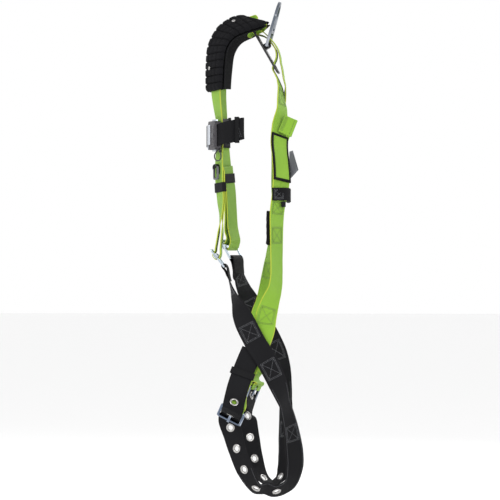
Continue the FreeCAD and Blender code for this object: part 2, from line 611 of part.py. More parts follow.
# ---- cord loop under the chest buckle -----------------------------------------------------------
CORD_ROUTE = [(107.9, -120.0, -305.9), (103.3, -125.7, -312.1), (100.3, -129.6, -318.4), (101.0, -128.7, -326.3),
              (105.0, -123.6, -331.0), (109.8, -117.5, -329.5), (112.4, -114.2, -322.7), (111.4, -115.4, -315.0),
              (105.5, -118.4, -306.1)]


def cord_path(points):
    """Straight runs joined by tangent arcs through the corners of a route."""
    corners = [Vec(*p) for p in points]
    edges = []
    start = corners[0]
    radii = []
    for i in range(1, len(corners) - 1):
        into = corners[i] - corners[i - 1]
        out = corners[i + 1] - corners[i]
        cut = 0.45 * min(into.Length, out.Length)
        turn = into.getAngle(out)
        radii.append(cut / math.tan(turn / 2))
        first = corners[i] - unit(into) * cut
        last = corners[i] + unit(out) * cut
        inside = unit(unit(out) - unit(into))
        centre = corners[i] + inside * math.hypot(cut, radii[-1])
        middle = centre - inside * radii[-1]
        edges.append(Part.LineSegment(start, first).toShape())
        edges.append(Part.Arc(first, middle, last).toShape())
        start = last
    edges.append(Part.LineSegment(start, corners[-1]).toShape())
    print("cord radii", [round(r, 1) for r in radii])
    return Part.Wire(edges)


def make_cord():
    wire = cord_path(CORD_ROUTE)
    start = Vec(*CORD_ROUTE[0])
    heading = Vec(*CORD_ROUTE[1]) - start
    circle = Part.Wire(Part.Circle(start, heading, CORD_R).toShape())
    tube = wire.makePipeShell([circle], True, True)
    print("cord length", round(wire.Length, 1), "volume ratio", tube.Volume / (math.pi * CORD_R ** 2 * wire.Length))
    under = CHEST_CENTRE.z - CHEST_HALF_HEIGHT
    save("release_cord", tube.cut(box((70, -140, under), (110, -110, under + 10))))
    lower = Vec(*CORD_ROUTE[-2])
    upper = Vec(*CORD_ROUTE[-1])
    middle = (lower + upper) / 2
    reach = unit(upper - lower) * 1.7
    bead = rod(middle - reach, middle + reach, 3.2)
    save("cord_bead", bead.cut(rod(middle - reach * 2, middle + reach * 2, CORD_R + RUNNING_FIT)))


# ---- keepers and small pieces on the front straps -----------------------------------------------
def strap_spot(route, height, start, end):
    """The section of a route, between two stations, nearest a height."""
    spots = sections(route)[start * STEPS:end * STEPS]
    return min(spots, key=lambda spot: abs(spot[0].z - height))


def front_range(route, front):
    first = route.index(front[0])
    return first, first + len(front) - 1


def sleeve(point, travel, across, outward, length, inner_offset):
    """An elastic band round both plies of a strap."""
    inner_width = WEB_WIDTH + 1.6
    inner_depth = WEB_THICK + PLY_GAP + 1.6
    wall = 1.5
    middle = point - outward * inner_offset
    placement = frame_placement(middle, across, travel)
    outer = box((-inner_width / 2 - wall, -inner_depth / 2 - wall, -length / 2),
                (inner_width / 2 + wall, inner_depth / 2 + wall, length / 2))
    hole = box((-inner_width / 2, -inner_depth / 2, -length), (inner_width / 2, inner_depth / 2, length))
    return placed(outer.cut(hole), placement)


def make_front_fittings():
    for side, route, front, band_z, clip_z in (("left", strap_a, FRONT_LEFT, -386, -341),
                                               ("right", strap_b, FRONT_RIGHT, -364, -315)):
        first, last = front_range(route, front)
        point, travel, across = strap_spot(route, band_z, first, last)
        outward = cross(travel, across) * -1
        save("elastic_keeper_" + side, sleeve(point, travel, across, outward, 20.0, PLY_GAP / 2))

        # Lanyard keeper: a link that hangs from a sewn tab, on the outside of the strap.
        point, travel, across = strap_spot(route, clip_z, first, last)
        outward = cross(travel, across) * -1
        pivot = point + outward * 6.6
        level = unit(Vec(across.x, across.y, 0))
        frame = frame_placement(pivot, level, Vec(0, 0, 1))
        out = -1 if frame.Rotation.multVec(Vec(0, 1, 0)).dot(outward) < 0 else 1
        link = rounded_box((-13, -2, -27), (13, 2, 2), 5.0, 1).cut(rounded_box((-9, -3, -23), (9, 3, -2), 4.0, 1))
        save("lanyard_keeper_" + side, placed(link, frame))
        tab_points = [(out * -4.3, -15), (out * -4.3, -8), (out * -4.2, 0), (out * -3.1, 4.5), (0, 5.4),
                      (out * 3.5, 3.5), (out * 4.5, -1), (out * 4.2, -5.2)]
        stations = local_stations(frame, tab_points, level)
        save("lanyard_tab_" + side, ribbon(stations, 16.0, 1.2))

    # A short moulded web stop on the right front strap.
    first, last = front_range(strap_b, FRONT_RIGHT)
    point, travel, across = strap_spot(strap_b, -236, first, last)
    inward = cross(travel, across)
    stop = box((-24, 1.4, -3.5), (24, 5.0, 3.5)).fuse(box((-27, 1.4, -3.5), (-24, 8.0, 5.5)))
    stop_frame = frame_placement(point, across, travel)
    if stop_frame.Rotation.multVec(Vec(0, 1, 0)).dot(inward) < 0:
        stop = stop.mirror(Vec(0, 0, 0), Vec(0, 1, 0))
    save("web_stop", placed(stop, stop_frame))


# ---- back: indicator folds, label pouch, cross strap and trauma pouches -------------------------
def make_back_fittings():
    fold_left = [(40, 8, -250, (0.3, -0.42, -0.86)), (38.5, 21, -256, (0.3, -0.42, -0.86)),
                 (37, 33, -261, (0.3, -0.42, -0.86))]
    save("fall_indicator_left", ribbon(fold_left, 39.0, 4.6))
    fold_right = [(-40, -1.5, -262, (0.3, 0.42, 0.86)), (-38.5, 10, -267, (0.3, 0.42, 0.86)),
                  (-37, 20, -271, (0.3, 0.42, 0.86))]
    save("fall_indicator_right", ribbon(fold_right, 36.0, 4.6))

    top = strap_b.index(BACK_LEFT[4]) + 0.5
    pouch = stretch(strap_b, top, top + 2.5)
    save("label_pouch", band(pouch, 47.0, 2.4, -2.8))
    save("label_window", band(pouch, 38.0, 0.6, -4.5))
    leaf_face = 45.0
    corners = [Vec(leaf_face, y, z) for y, z in ((24.6, -310), (32, -307.5), (44, -348.5), (24.6, -370))]
    leaf = Part.Face(Part.makePolygon(corners + [corners[0]])).extrude(Vec(1.6, 0, 0))
    save("label_booklet", leaf)

    cross_strap = [(98.5, -7.7, -400, UP), (81, 8.0, -400, UP), (64, 22.6, -400, UP), (50, 27, -402, UP),
                   (24, 24, -404, UP), (-8, 18, -404, UP), (-36, 13.5, -402, UP), (-54, 7.6, -400, UP),
                   (-73, -5.4, -400, UP), (-92, -18.4, -400, UP)]
    save("back_cross_strap", ribbon(cross_strap, 27.0, 2.0))
    small_w = (0.76, -0.65, 0.1)
    save("woven_label", ribbon([(80.2, 11.2, -387, small_w), (80.6, 10.8, -396, small_w)], 20.0, 0.8, -0.4))

    pouch_left = [(78.3, -3.7, -437, -38), (79.6, -5.0, -462, -34), (79.8, -5.1, -485, -33), (79.8, -5.1, -507, -32)]
    save("trauma_pouch_left", ribbon(pouch_left, 54.0, 6.0))
    pouch_right = [(-71.6, -13.6, -436, 32), (-75, -15.2, -464, 30), (-76.4, -19.6, -485, 29), (-77.3, -24.5, -507, 28)]
    save("trauma_pouch_right", ribbon(pouch_right, 44.0, 6.0))
    loop = [(82, 10.5, -422, UP), (76.5, 16.5, -421, UP), (69.5, 17.5, -421, UP)]
    save("trauma_loop", ribbon(loop, 12.0, 2.4))


# ---- leg tail keepers ---------------------------------------------------------------------------
def make_tail_keepers():
    for side, route, spot in (("left", leg_left, TAIL_UP_LEFT[-3]), ("right", leg_right, TAIL_UP_RIGHT[-2])):
        station = route.index(spot)
        point, travel, across = sections(route)[station * STEPS]
        placement = frame_placement(point, across, travel)
        outer = box((-26.5, -3.6, -7), (26.5, 3.6, 7))
        hole = box((-25, -2.4, -8), (25, 2.4, 8))
        save("tail_keeper_" + side, placed(outer.cut(hole), placement))


make_main_straps()
make_pads()
make_dorsal()
make_adjusters()
make_legs()
make_buckles()
make_chest_buckle()
make_chest_webbing()
make_cord()
make_front_fittings()
make_back_fittings()
make_tail_keepers()
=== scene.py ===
import bisect
import itertools
import math

import bmesh
import bpy
from mathutils import Matrix, Vector


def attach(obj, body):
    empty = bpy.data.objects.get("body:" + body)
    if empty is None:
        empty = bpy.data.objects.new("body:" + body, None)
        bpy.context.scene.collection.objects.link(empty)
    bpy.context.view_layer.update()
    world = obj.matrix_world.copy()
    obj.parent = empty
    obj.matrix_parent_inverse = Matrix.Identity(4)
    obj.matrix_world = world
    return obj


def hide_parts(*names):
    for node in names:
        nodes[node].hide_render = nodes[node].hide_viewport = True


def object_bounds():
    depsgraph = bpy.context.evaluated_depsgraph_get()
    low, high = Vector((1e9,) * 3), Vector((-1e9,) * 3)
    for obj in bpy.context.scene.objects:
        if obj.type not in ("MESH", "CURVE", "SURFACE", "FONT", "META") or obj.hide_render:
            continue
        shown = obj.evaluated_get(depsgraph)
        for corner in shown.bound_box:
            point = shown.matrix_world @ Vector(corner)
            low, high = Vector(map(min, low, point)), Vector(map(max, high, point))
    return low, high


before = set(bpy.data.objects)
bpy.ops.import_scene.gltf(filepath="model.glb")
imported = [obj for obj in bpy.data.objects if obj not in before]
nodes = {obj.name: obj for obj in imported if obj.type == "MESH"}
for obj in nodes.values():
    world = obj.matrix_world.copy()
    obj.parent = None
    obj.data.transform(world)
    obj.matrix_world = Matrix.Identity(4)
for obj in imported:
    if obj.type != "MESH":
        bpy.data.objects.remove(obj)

# A full-body fall-arrest harness hanging by its dorsal D-ring. Routes are in millimetres, meshes in metres.
# +Z up, +Y the wearer's back, +X the wearer's left.
CAD_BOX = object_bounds()
MM = 0.001

# ---- driving dimensions in millimetres and degrees, as in the part ----
WEB_WIDTH = 45.0
WEB_THICK = 2.0
PLY_GAP = 3.2
# Sections between two stations of a route.
STEPS = 8
# Where a pad starts and ends, in stations past its front strap's last bend.
PAD_LOW = {"left": -0.25, "right": 0.1}
PAD_HIGH = {"left": 5.5, "right": 5.4}
# How far a pad runs past its lining.
PAD_EXTRA = {"left": 2.0, "right": 0.0}
RING_PIVOT = Vector((0, -23.5, -83.7))
PLATE_TILT = 30.0
PLATE_SPREAD = 9.0
GROMMET_PITCH = 46.6
GROMMET_R = 9.5
GROMMET_BORE = 5.2
HOLE_R = 6.25
CHEST_CENTRE = Vector((84, -130.6, -277))
CHEST_YAW = 19.0
# Width direction of the webbing that runs level.
UP = (0, 0, 1)
X_AXIS = Vector((1, 0, 0))


def linked(name, data):
    """A new object in the scene."""
    piece = bpy.data.objects.new(name, data)
    bpy.context.scene.collection.objects.link(piece)
    return piece


def aimed(name, data, spot, aim):
    """A camera or light, turned to what it looks at."""
    piece = linked(name, data)
    piece.location = spot
    piece.rotation_euler = (Vector(aim) - Vector(spot)).to_track_quat("-Z", "Y").to_euler()
    return piece


# ---- camera, light and floor ----
def add_camera():
    turn = math.radians(4.0)
    away = Vector((math.cos(turn), math.sin(turn), 0))
    right = Vector((-math.sin(turn), math.cos(turn), 0))
    distance = 8.0
    frame_width = 1.06
    aim = right * -0.0615 + Vector((0, 0, -0.5173))
    data = bpy.data.cameras.new("camera")
    data.lens = data.sensor_width * distance / frame_width
    data.clip_end = 200
    bpy.context.scene.camera = aimed("camera", data, aim + away * distance, aim)


def add_light(name, spot, aim, size, power):
    data = bpy.data.lights.new(name, "AREA")
    data.shape = "SQUARE"
    data.size = size
    data.energy = power
    aimed(name, data, spot, aim)


def add_studio():
    scene = bpy.context.scene
    scene.view_settings.view_transform = "Standard"
    world = bpy.data.worlds.new("studio")
    scene.world = world
    world.use_nodes = True
    background = world.node_tree.nodes["Background"]
    background.inputs["Color"].default_value = (1, 1, 1, 1)
    background.inputs["Strength"].default_value = 1.0
    middle = (0, -0.05, -0.5)
    add_light("key", (2.6, -2.2, 1.6), middle, 2.2, 75)
    add_light("side", (2.4, 2.6, 0.4), middle, 2.0, 38)
    add_light("back", (-3.0, 1.5, 1.2), middle, 2.0, 40)
    reach = 30.0
    low = CAD_BOX[0][2] - 0.12
    mesh = bpy.data.meshes.new("floor")
    corners = [(-reach, -reach, low), (reach, -reach, low), (reach, reach, low), (-reach, reach, low)]
    mesh.from_pydata(corners, [], [(0, 1, 2, 3)])
    floor = linked("floor", mesh)
    mesh.materials.append(Nodes("floor_paint").finish(rgb(0.93, 0.93, 0.93), 0.9))


# ---- materials ----
class Nodes:
    """A small builder of shader nodes."""

    def __init__(self, name):
        self.material = bpy.data.materials.new(name)
        self.material.use_nodes = True
        self.tree = self.material.node_tree
        self.shader = self.tree.nodes["Principled BSDF"]

    def feed(self, socket, value):
        if isinstance(value, bpy.types.NodeSocket):
            self.tree.links.new(value, socket)
        else:
            socket.default_value = value

    def add(self, kind, inputs=None, **settings):
        node = self.tree.nodes.new(kind)
        for key, value in settings.items():
            setattr(node, key, value)
        for key, value in (inputs or {}).items():
            self.feed(node.inputs[key], value)
        return node

    def math(self, operation, a, b=0.0, c=0.0):
        return self.add("ShaderNodeMath", {0: a, 1: b, 2: c}, operation=operation).outputs[0]

    def noise(self, vector, scale, detail=3.0):
        inputs = {"Vector": vector, "Scale": scale, "Detail": detail}
        return self.add("ShaderNodeTexNoise", inputs).outputs["Fac"]

    def cloud(self, scale, low=0.35, high=0.7, top=1.0, detail=3.0):
        """A soft mottling over the piece."""
        return self.step(self.noise(self.place(), scale, detail), low, high, 0.0, top)

    def tips(self, high, top=1.0):
        """The sharp, rounded edges, as a mask."""
        return self.step(self.add("ShaderNodeNewGeometry").outputs["Pointiness"], 0.52, high, 0.0, top)

    def place(self):
        return self.add("ShaderNodeTexCoord").outputs["Object"]

    def mix(self, factor, low, high):
        return self.add("ShaderNodeMix", {0: factor, 6: low, 7: high}, data_type="RGBA").outputs[2]

    def step(self, value, low, high, to_low=0.0, to_high=1.0):
        return self.add("ShaderNodeMapRange", {0: value, 1: low, 2: high, 3: to_low, 4: to_high}).outputs[0]

    def bump(self, height, distance, strength):
        inputs = {"Height": height, "Distance": distance, "Strength": strength}
        return self.add("ShaderNodeBump", inputs).outputs["Normal"]

    def finish(self, colour, roughness, normal=None, **constants):
        self.feed(self.shader.inputs["Base Color"], colour)
        self.feed(self.shader.inputs["Roughness"], roughness)
        if normal:
            self.feed(self.shader.inputs["Normal"], normal)
        for key, value in constants.items():
            self.shader.inputs[key.replace("_", " ")].default_value = value
        return self.material


def rgb(r, g, b):
    return (r, g, b, 1.0)


def shade(colour, share, lift=0.0):
    """A darker or lighter tone of a colour."""
    return rgb(*[min(c * share + lift, 1.0) for c in colour[:3]])


def webbing(name, colour, cloudy, selvedge, width=WEB_WIDTH, edge=1.7, sheen=0.1, gloss=0.3):
    """Woven webbing: herringbone ribs along the length and a tighter selvedge; UVs are in metres."""
    b = Nodes(name)
    flat = b.add("ShaderNodeUVMap", uv_map="UVMap").outputs["UV"]
    along, across = b.add("ShaderNodeSeparateXYZ", {0: flat}).outputs[:2]
    rib = 0.0018
    pick = 0.0016
    lane = b.math("DIVIDE", across, rib)
    number = b.math("FLOOR", lane)
    share = b.math("SUBTRACT", lane, number)
    turn = b.math("MULTIPLY_ADD", b.math("PINGPONG", number, 1.0), 2.0, -1.0)
    phase = b.math("MULTIPLY_ADD", share, turn, b.math("DIVIDE", along, pick))
    wave = b.math("ABSOLUTE", b.math("SINE", b.math("MULTIPLY", phase, math.pi)))
    round_rib = b.math("SINE", b.math("MULTIPLY", share, math.pi))
    height = b.math("MULTIPLY_ADD", wave, 0.5, round_rib)
    away = b.math("ABSOLUTE", across)
    rim = b.step(away, (width / 2 - edge) * MM, (width / 2 - edge + 0.8) * MM)
    cloud = b.cloud(9.0, 0.3)
    body = b.mix(cloud, colour, cloudy)
    # Painted shade: the weave is darker in the low grooves between its ribs.
    body = b.mix(b.step(height, 0.0, 1.5, 0.35, 0.0), body, shade(colour, 0.45))
    tint = b.mix(rim, body, selvedge)
    normal = b.bump(height, 0.00035, 0.7)
    rough = b.step(height, 0.0, 1.5, 0.85, 0.62)
    return b.finish(tint, rough, normal, Sheen_Weight=sheen, Sheen_Roughness=0.5, Specular_IOR_Level=gloss)


def mesh_cloth(name, colour, pitch=0.0026):
    """A knitted spacer mesh with small round holes."""
    b = Nodes(name)
    cells = b.add("ShaderNodeTexVoronoi", {"Vector": b.place(), "Scale": 1 / pitch, "Randomness": 0.25})
    hole = b.step(cells.outputs["Distance"], 0.18, 0.42)
    # Painted shade: the holes are darker than the knit around them.
    tone = b.mix(hole, shade(colour, 0.35), colour)
    tone = b.mix(b.cloud(14.0, high=0.75, top=0.5), tone, shade(colour, 1.9))
    return b.finish(tone, 0.85, b.bump(hole, 0.0006, 0.8), Specular_IOR_Level=0.1)


def metal(name, colour, rough, brush=0.0, edge_tone=None):
    """Plated or polished metal with a faint grain, smudges and, when an edge tone is given, lighter sharp
    edges.
    """
    b = Nodes(name)
    drawn = b.add("ShaderNodeMapping", {"Vector": b.place(), "Scale": (900, 900, 90)}).outputs[0]
    grain = b.noise(drawn, 1.0, 2.0)
    smudge = b.cloud(60.0, detail=4.0)
    tone = b.mix(smudge, colour, shade(colour, 0.82))
    if edge_tone:
        tone = b.mix(b.tips(0.58), tone, edge_tone)
    roughness = b.math("MULTIPLY_ADD", smudge, 0.12, rough)
    normal = b.bump(grain, 0.00004, brush)
    return b.finish(tone, roughness, normal, Metallic=1.0)


def plastic(name, colour, rough, grain=0.5):
    """Moulded plastic with a fine grain and lighter sharp edges."""
    b = Nodes(name)
    fine = b.noise(b.place(), 2200.0, 2.0)
    cloud = b.cloud(25.0)
    tone = b.mix(cloud, colour, shade(colour, 1.25))
    tone = b.mix(b.tips(0.6, 0.6), tone, shade(colour, 2.2, 0.02))
    roughness = b.math("MULTIPLY_ADD", cloud, 0.1, rough)
    return b.finish(tone, roughness, b.bump(fine, 0.00008, grain))


def thread(name, colour):
    """Twisted sewing thread or braid."""
    b = Nodes(name)
    twist = b.add("ShaderNodeTexWave", {"Vector": b.place(), "Scale": 900.0, "Distortion": 1.5},
                  bands_direction="DIAGONAL").outputs["Fac"]
    # Painted shade: the thread is darker between its twisted strands.
    tone = b.mix(twist, shade(colour, 0.6), colour)
    return b.finish(tone, 0.6, b.bump(twist, 0.0001, 0.5), Sheen_Weight=0.3)


def pouch_cloth(name, colour, pitch=0.0011):
    """Plain-woven pack cloth."""
    b = Nodes(name)
    place = b.place()
    warp, weft = (b.add("ShaderNodeTexWave", {"Vector": place, "Scale": 0.16 / pitch}, bands_direction=way)
                  .outputs["Fac"] for way in "ZY")
    height = b.math("MULTIPLY", warp, weft)
    # Painted shade: the cloth is darker where its threads dip under each other.
    tone = b.mix(height, shade(colour, 0.5), colour)
    tone = b.mix(b.cloud(20.0, high=0.75, top=0.5), tone, shade(colour, 1.7))
    return b.finish(tone, 0.8, b.bump(height, 0.0003, 0.6), Specular_IOR_Level=0.12)


def make_materials():
    """Every material by its name."""
    lime, lime_cloud, lime_edge = rgb(0.215, 0.4, 0.028), rgb(0.17, 0.34, 0.02), rgb(0.37, 0.43, 0.03)
    black, black_cloud = rgb(0.0045, 0.0045, 0.0055), rgb(0.008, 0.008, 0.0095)
    black_edge, faded = rgb(0.006, 0.006, 0.007), rgb(0.009, 0.009, 0.01)
    table = (
        (webbing, "lime_webbing", lime, lime_cloud, lime_edge),
        (webbing, "black_webbing", black, black_cloud, black_edge, WEB_WIDTH, 1.7, 0.0, 0.12),
        (webbing, "narrow_webbing", black, black_cloud, black_edge, 27.0, 1.7, 0.0, 0.12),
        (webbing, "elastic_band", rgb(0.005, 0.005, 0.006), faded, black_edge, 20.0, 1.2, 0.0, 0.12),
        (webbing, "label_lime", lime, lime_cloud, lime, 60.0),
        (mesh_cloth, "pad_cover", black),
        (mesh_cloth, "pad_lining", rgb(0.0075, 0.0075, 0.0085), 0.0018),
        (metal, "forged_steel", rgb(0.13, 0.15, 0.18), 0.3, 0.4, rgb(0.4, 0.42, 0.46)),
        (metal, "zinc_steel", rgb(0.42, 0.49, 0.56), 0.28, 0.35, rgb(0.75, 0.8, 0.85)),
        (metal, "nickel", rgb(0.42, 0.41, 0.4), 0.16, 0.1),
        (metal, "blued_steel", rgb(0.11, 0.14, 0.2), 0.2, 0.2, rgb(0.45, 0.5, 0.58)),
        (metal, "tab_metal", rgb(0.42, 0.46, 0.52), 0.32, 0.3, rgb(0.6, 0.63, 0.68)),
        (plastic, "black_plastic", black_edge, 0.42),
        (plastic, "grey_plastic", rgb(0.014, 0.012, 0.016), 0.42, 0.7),
        (plastic, "keeper_grey", rgb(0.07, 0.07, 0.075), 0.45, 0.6),
        (plastic, "label_paper", rgb(0.055, 0.058, 0.066), 0.55, 0.3),
        (pouch_cloth, "label_cloth", black_edge),
        (pouch_cloth, "pouch_cloth", black_edge, 0.0009),
        (thread, "cord_braid", rgb(0.008, 0.008, 0.009)),
        (thread, "dark_thread", rgb(0.02, 0.03, 0.015)),
        (thread, "light_thread", rgb(0.12, 0.125, 0.14)),
    )
    return {name: make(name, *values) for make, name, *values in table}


# ---- geometry helpers ----
def vec(*c):
    return Vector(c)


def unit(v):
    return v.normalized()


def turns(count):
    """Angles evenly spaced round a circle."""
    return [2 * math.pi * k / count for k in range(count)]


def circle(across, travel, radius, count):
    """Offsets round a circle in the plane of two directions."""
    return [(across * math.cos(a) + travel * math.sin(a)) * radius for a in turns(count)]


def frame_placement(origin, x_dir, z_dir):
    """A local frame from its x and z directions, which are at right angles."""
    y_dir = z_dir.cross(x_dir)
    turn = Matrix((x_dir, y_dir, z_dir)).transposed()
    return Matrix.Translation(origin) @ turn.to_4x4()


def tilted(origin, tilt, yaw=0.0):
    turn = Matrix.Rotation(math.radians(yaw), 4, "Z") @ Matrix.Rotation(math.radians(tilt), 4, "X")
    return Matrix.Translation(origin) @ turn


def catmull(a, b, c, d, t):
    return (b * 2 + (c - a) * t + (a * 2 - b * 5 + c * 4 - d) * (t * t)
            + (b * 3 - a - c * 3 + d) * (t * t * t)) * 0.5


def sections(route, steps=STEPS):
    """Points, directions and width directions along a smooth line through the stations."""
    points = [Vector(station[:3]) for station in route]
    last = len(points) - 1
    widths = []
    for i, station in enumerate(route):
        travel = unit(points[min(i + 1, last)] - points[max(i - 1, 0)])
        roll = station[3]
        if isinstance(roll, tuple):
            widths.append(Vector(roll))
        else:
            angle = math.radians(roll)
            widths.append(X_AXIS * math.cos(angle) + X_AXIS.cross(travel) * math.sin(angle))
    line = []
    spread = []
    for i in range(last):
        before = points[max(i - 1, 0)]
        after = points[min(i + 2, last)]
        for k in range(steps):
            t = k / steps
            line.append(catmull(before, points[i], points[i + 1], after, t))
            spread.append(widths[i].lerp(widths[i + 1], t))
    line.append(points[last])
    spread.append(widths[last])
    result = []
    for i, point in enumerate(line):
        travel = unit(line[min(i + 1, len(line) - 1)] - line[max(i - 1, 0)])
        width = spread[i] - travel * spread[i].dot(travel)
        result.append((point, travel, unit(width)))
    return result


def local_stations(placement, points, way=1):
    """Stations from (y, z) points in the plane x = 0 of a local frame, with their width along its x axis."""
    width = tuple(placement.to_3x3() @ X_AXIS * way)
    return [(*(placement @ vec(0, y, z)), width) for y, z in points]


def lengths(spots):
    """Distances along the sections."""
    return [0.0, *itertools.accumulate((b[0] - a[0]).length for a, b in zip(spots, spots[1:]))]


class Web:
    """A strip of webbing: its sections, and where a distance along it lies."""

    def __init__(self, route):
        self.route = route
        self.spots = sections(route)
        self.run = lengths(self.spots)

    def station(self, number):
        """The distance along it of a station of its route."""
        return self.run[round(number * STEPS)]

    def at(self, s):
        """Point, travel, across and normal at a distance from the start."""
        s = min(max(s, 0.0), self.run[-1])
        low = min(bisect.bisect_right(self.run, s) - 1, len(self.run) - 2)
        share = (s - self.run[low]) / max(self.run[low + 1] - self.run[low], 1e-9)
        a, b = self.spots[low], self.spots[low + 1]
        point = a[0].lerp(b[0], share)
        travel = unit(a[1].lerp(b[1], share))
        across = a[2].lerp(b[2], share)
        across = unit(across - travel * across.dot(travel))
        return point, travel, across, travel.cross(across)

    def near(self, z, first=0.0, last=1.0):
        """The distance along it, within two shares of its length, whose height is nearest z."""
        low, high = first * self.run[-1], last * self.run[-1]
        choices = [i for i, s in enumerate(self.run) if low <= s <= high]
        best = min(choices, key=lambda i: abs(self.spots[i][0].z - z))
        return self.run[best]

    def part(self, start, end, step=2.0):
        """Sections from one distance to another."""
        count = max(int((end - start) / step), 2)
        return [self.at(start + (end - start) * k / count)[:3] for k in range(count + 1)]


def rework(source, change, target=None):
    """Makes a change to a mesh, or to a copy of it in another mesh."""
    work = bmesh.new()
    work.from_mesh(source)
    change(work)
    work.to_mesh(target or source)
    work.free()


class Shape:
    """Vertices, faces and UVs gathered for one mesh."""

    def __init__(self):
        self.points = []
        self.faces = []
        self.flat = []

    def loft(self, rings, flats=None, closed=False):
        """Joins equal rings of points into a skin, capped at both ends unless it closes on itself."""
        size = len(rings[0])
        count = len(rings)
        base = len(self.points)
        for i in range(count if closed else count - 1):
            a = base + i * size
            b = base + (i + 1) % count * size
            for k in range(size):
                m = (k + 1) % size
                self.faces.append((a + k, a + m, b + m, b + k))
        if not closed:
            self.faces.append(range(base + size - 1, base - 1, -1))
            self.faces.append(range(base + (count - 1) * size, base + count * size))
        for ring, flat in zip(rings, flats or [[(0.0, 0.0)] * size] * count):
            self.points.extend(ring)
            self.flat.extend(flat)

    def mesh(self, name):
        mesh = bpy.data.meshes.new(name)
        mesh.from_pydata([p * MM for p in self.points], [], [tuple(face) for face in self.faces])
        layer = mesh.uv_layers.new(name="UVMap")
        layer.data.foreach_set("uv", [c for loop in mesh.loops for c in self.flat[loop.vertex_index]])
        mesh.validate()
        rework(mesh, lambda work: bmesh.ops.recalc_face_normals(work, faces=work.faces))
        return mesh


def declare(piece, look, replaced, body="harness", slot=None):
    """Puts a piece on its body and hides the CAD nodes that it stands for."""
    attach(piece, body)
    if replaced:
        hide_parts(*replaced)
    return piece


def new_piece(name, shape, look, *replaced, smooth=True, **where):
    mesh = shape.mesh(name)
    mesh.materials.append(mats[look])
    mesh.polygons.foreach_set("use_smooth", [smooth] * len(mesh.polygons))
    return declare(linked(name, mesh), look, replaced, **where)


def web_profile(width, thick, cells=10, bulge=0.12):
    """(across, normal) points round a woven strip, with round edges and slightly full selvedges."""
    half = width / 2
    rise = thick / 2
    top = []
    for k in range(cells + 1):
        v = -half + rise + (width - thick) * k / cells
        full = 1.0 + bulge * max(0.0, 1 - (half - rise - abs(v)) / 2.5)
        top.append((v, rise * full))
    edge = [(half - rise + rise * math.sin(a), rise * math.cos(a)) for a in (0.9, math.pi / 2, math.pi - 0.9)]
    bottom = [(v, -n) for v, n in reversed(top)]
    other = [(-v, -n) for v, n in edge]
    return top + edge + bottom + other


def add_web(shape, spots, width=WEB_WIDTH, thick=WEB_THICK, offset=0.0, shift=0.0, cells=10, start=0.0,
            bulge=0.12):
    """A strip along the sections, moved off its line by offset and sideways by shift."""
    profile = web_profile(width, thick, cells, bulge)
    rings = []
    flats = []
    for (point, travel, across), run in zip(spots, lengths(spots)):
        normal = travel.cross(across)
        rings.append([point + across * (v + shift) + normal * (n + offset) for v, n in profile])
        flats.append([((run + start) * MM, v * MM) for v, n in profile])
    shape.loft(rings, flats)


def web_piece(name, spots, look, *replaced, slot=None, **options):
    shape = Shape()
    add_web(shape, spots, **options)
    return new_piece(name, shape, look, *replaced, slot=slot)


# ---- stitches ----
STITCH = 3.1
STITCH_R = 0.42
STITCH_LIFT = WEB_THICK / 2 + 0.12
# The faces of a web: 1 is the outer one along its normal.
BOTH = (1, -1)


def add_stitch(shape, start, end, normal):
    """One raised stitch, a low grain of thread from start to end."""
    run = end - start
    side = unit(run).cross(normal)
    rings = []
    for share, size in ((0.0, 0.25), (0.22, 0.9), (0.78, 0.9), (1.0, 0.25)):
        centre = start + run * share + normal * (STITCH_R * 0.2)
        rings.append([centre + (side * math.cos(a) + normal * math.sin(a)) * STITCH_R * size
                      for a in (0.0, 1.05, 2.09, 3.14, 4.71)])
    shape.loft(rings)


def stitch_line(shape, web, points, faces=BOTH, lift=STITCH_LIFT, pitch=STITCH):
    """Stitches along a polyline of (distance, across) points on a web's faces."""
    for side, (s0, v0), (s1, v1) in [(side, *pair) for side in faces for pair in zip(points, points[1:])]:
        count = max(int(math.hypot(s1 - s0, v1 - v0) / pitch), 1)
        for k in range(count):
            ends = []
            for share in ((k + 0.08) / count, (k + 0.78) / count):
                point, _, across, normal = web.at(s0 + (s1 - s0) * share)
                ends.append(point + across * (v0 + (v1 - v0) * share) + normal * (side * lift))
            add_stitch(shape, ends[0], ends[1], normal * side)


def box_cross(shape, web, s, length=34.0, width=34.0, faces=BOTH):
    """Box-and-cross stitching, with a second row inside the box."""
    for inset in (0.0, 2.4):
        a, b = s - length / 2 + inset, s + length / 2 - inset
        v = width / 2 - inset
        stitch_line(shape, web, [(a, -v), (b, -v), (b, v), (a, v), (a, -v)], faces)
    stitch_line(shape, web, [(a, -v), (b, v)], faces)
    stitch_line(shape, web, [(a, v), (b, -v)], faces)


def bar_rows(shape, web, s, rows=4, gap=3.0, width=34.0, lift=STITCH_LIFT):
    """Rows of stitches straight across a web."""
    for k in range(rows):
        at = s + (k - (rows - 1) / 2) * gap
        stitch_line(shape, web, [(at, -width / 2), (at, width / 2)], lift=lift)


# ---- hard parts with eased edges ----
def bake_modifiers(piece):
    bpy.context.view_layer.update()
    graph = bpy.context.evaluated_depsgraph_get()
    result = bpy.data.meshes.new_from_object(piece.evaluated_get(graph))
    piece.modifiers.clear()
    piece.data = result


def sharpen(mesh, angle=32.0):
    """Marks the edges whose faces meet at more than an angle as sharp."""
    def mark(work):
        for edge in work.edges:
            if len(edge.link_faces) == 2 and edge.calc_face_angle(0.0) > math.radians(angle):
                edge.smooth = False
    rework(mesh, mark)


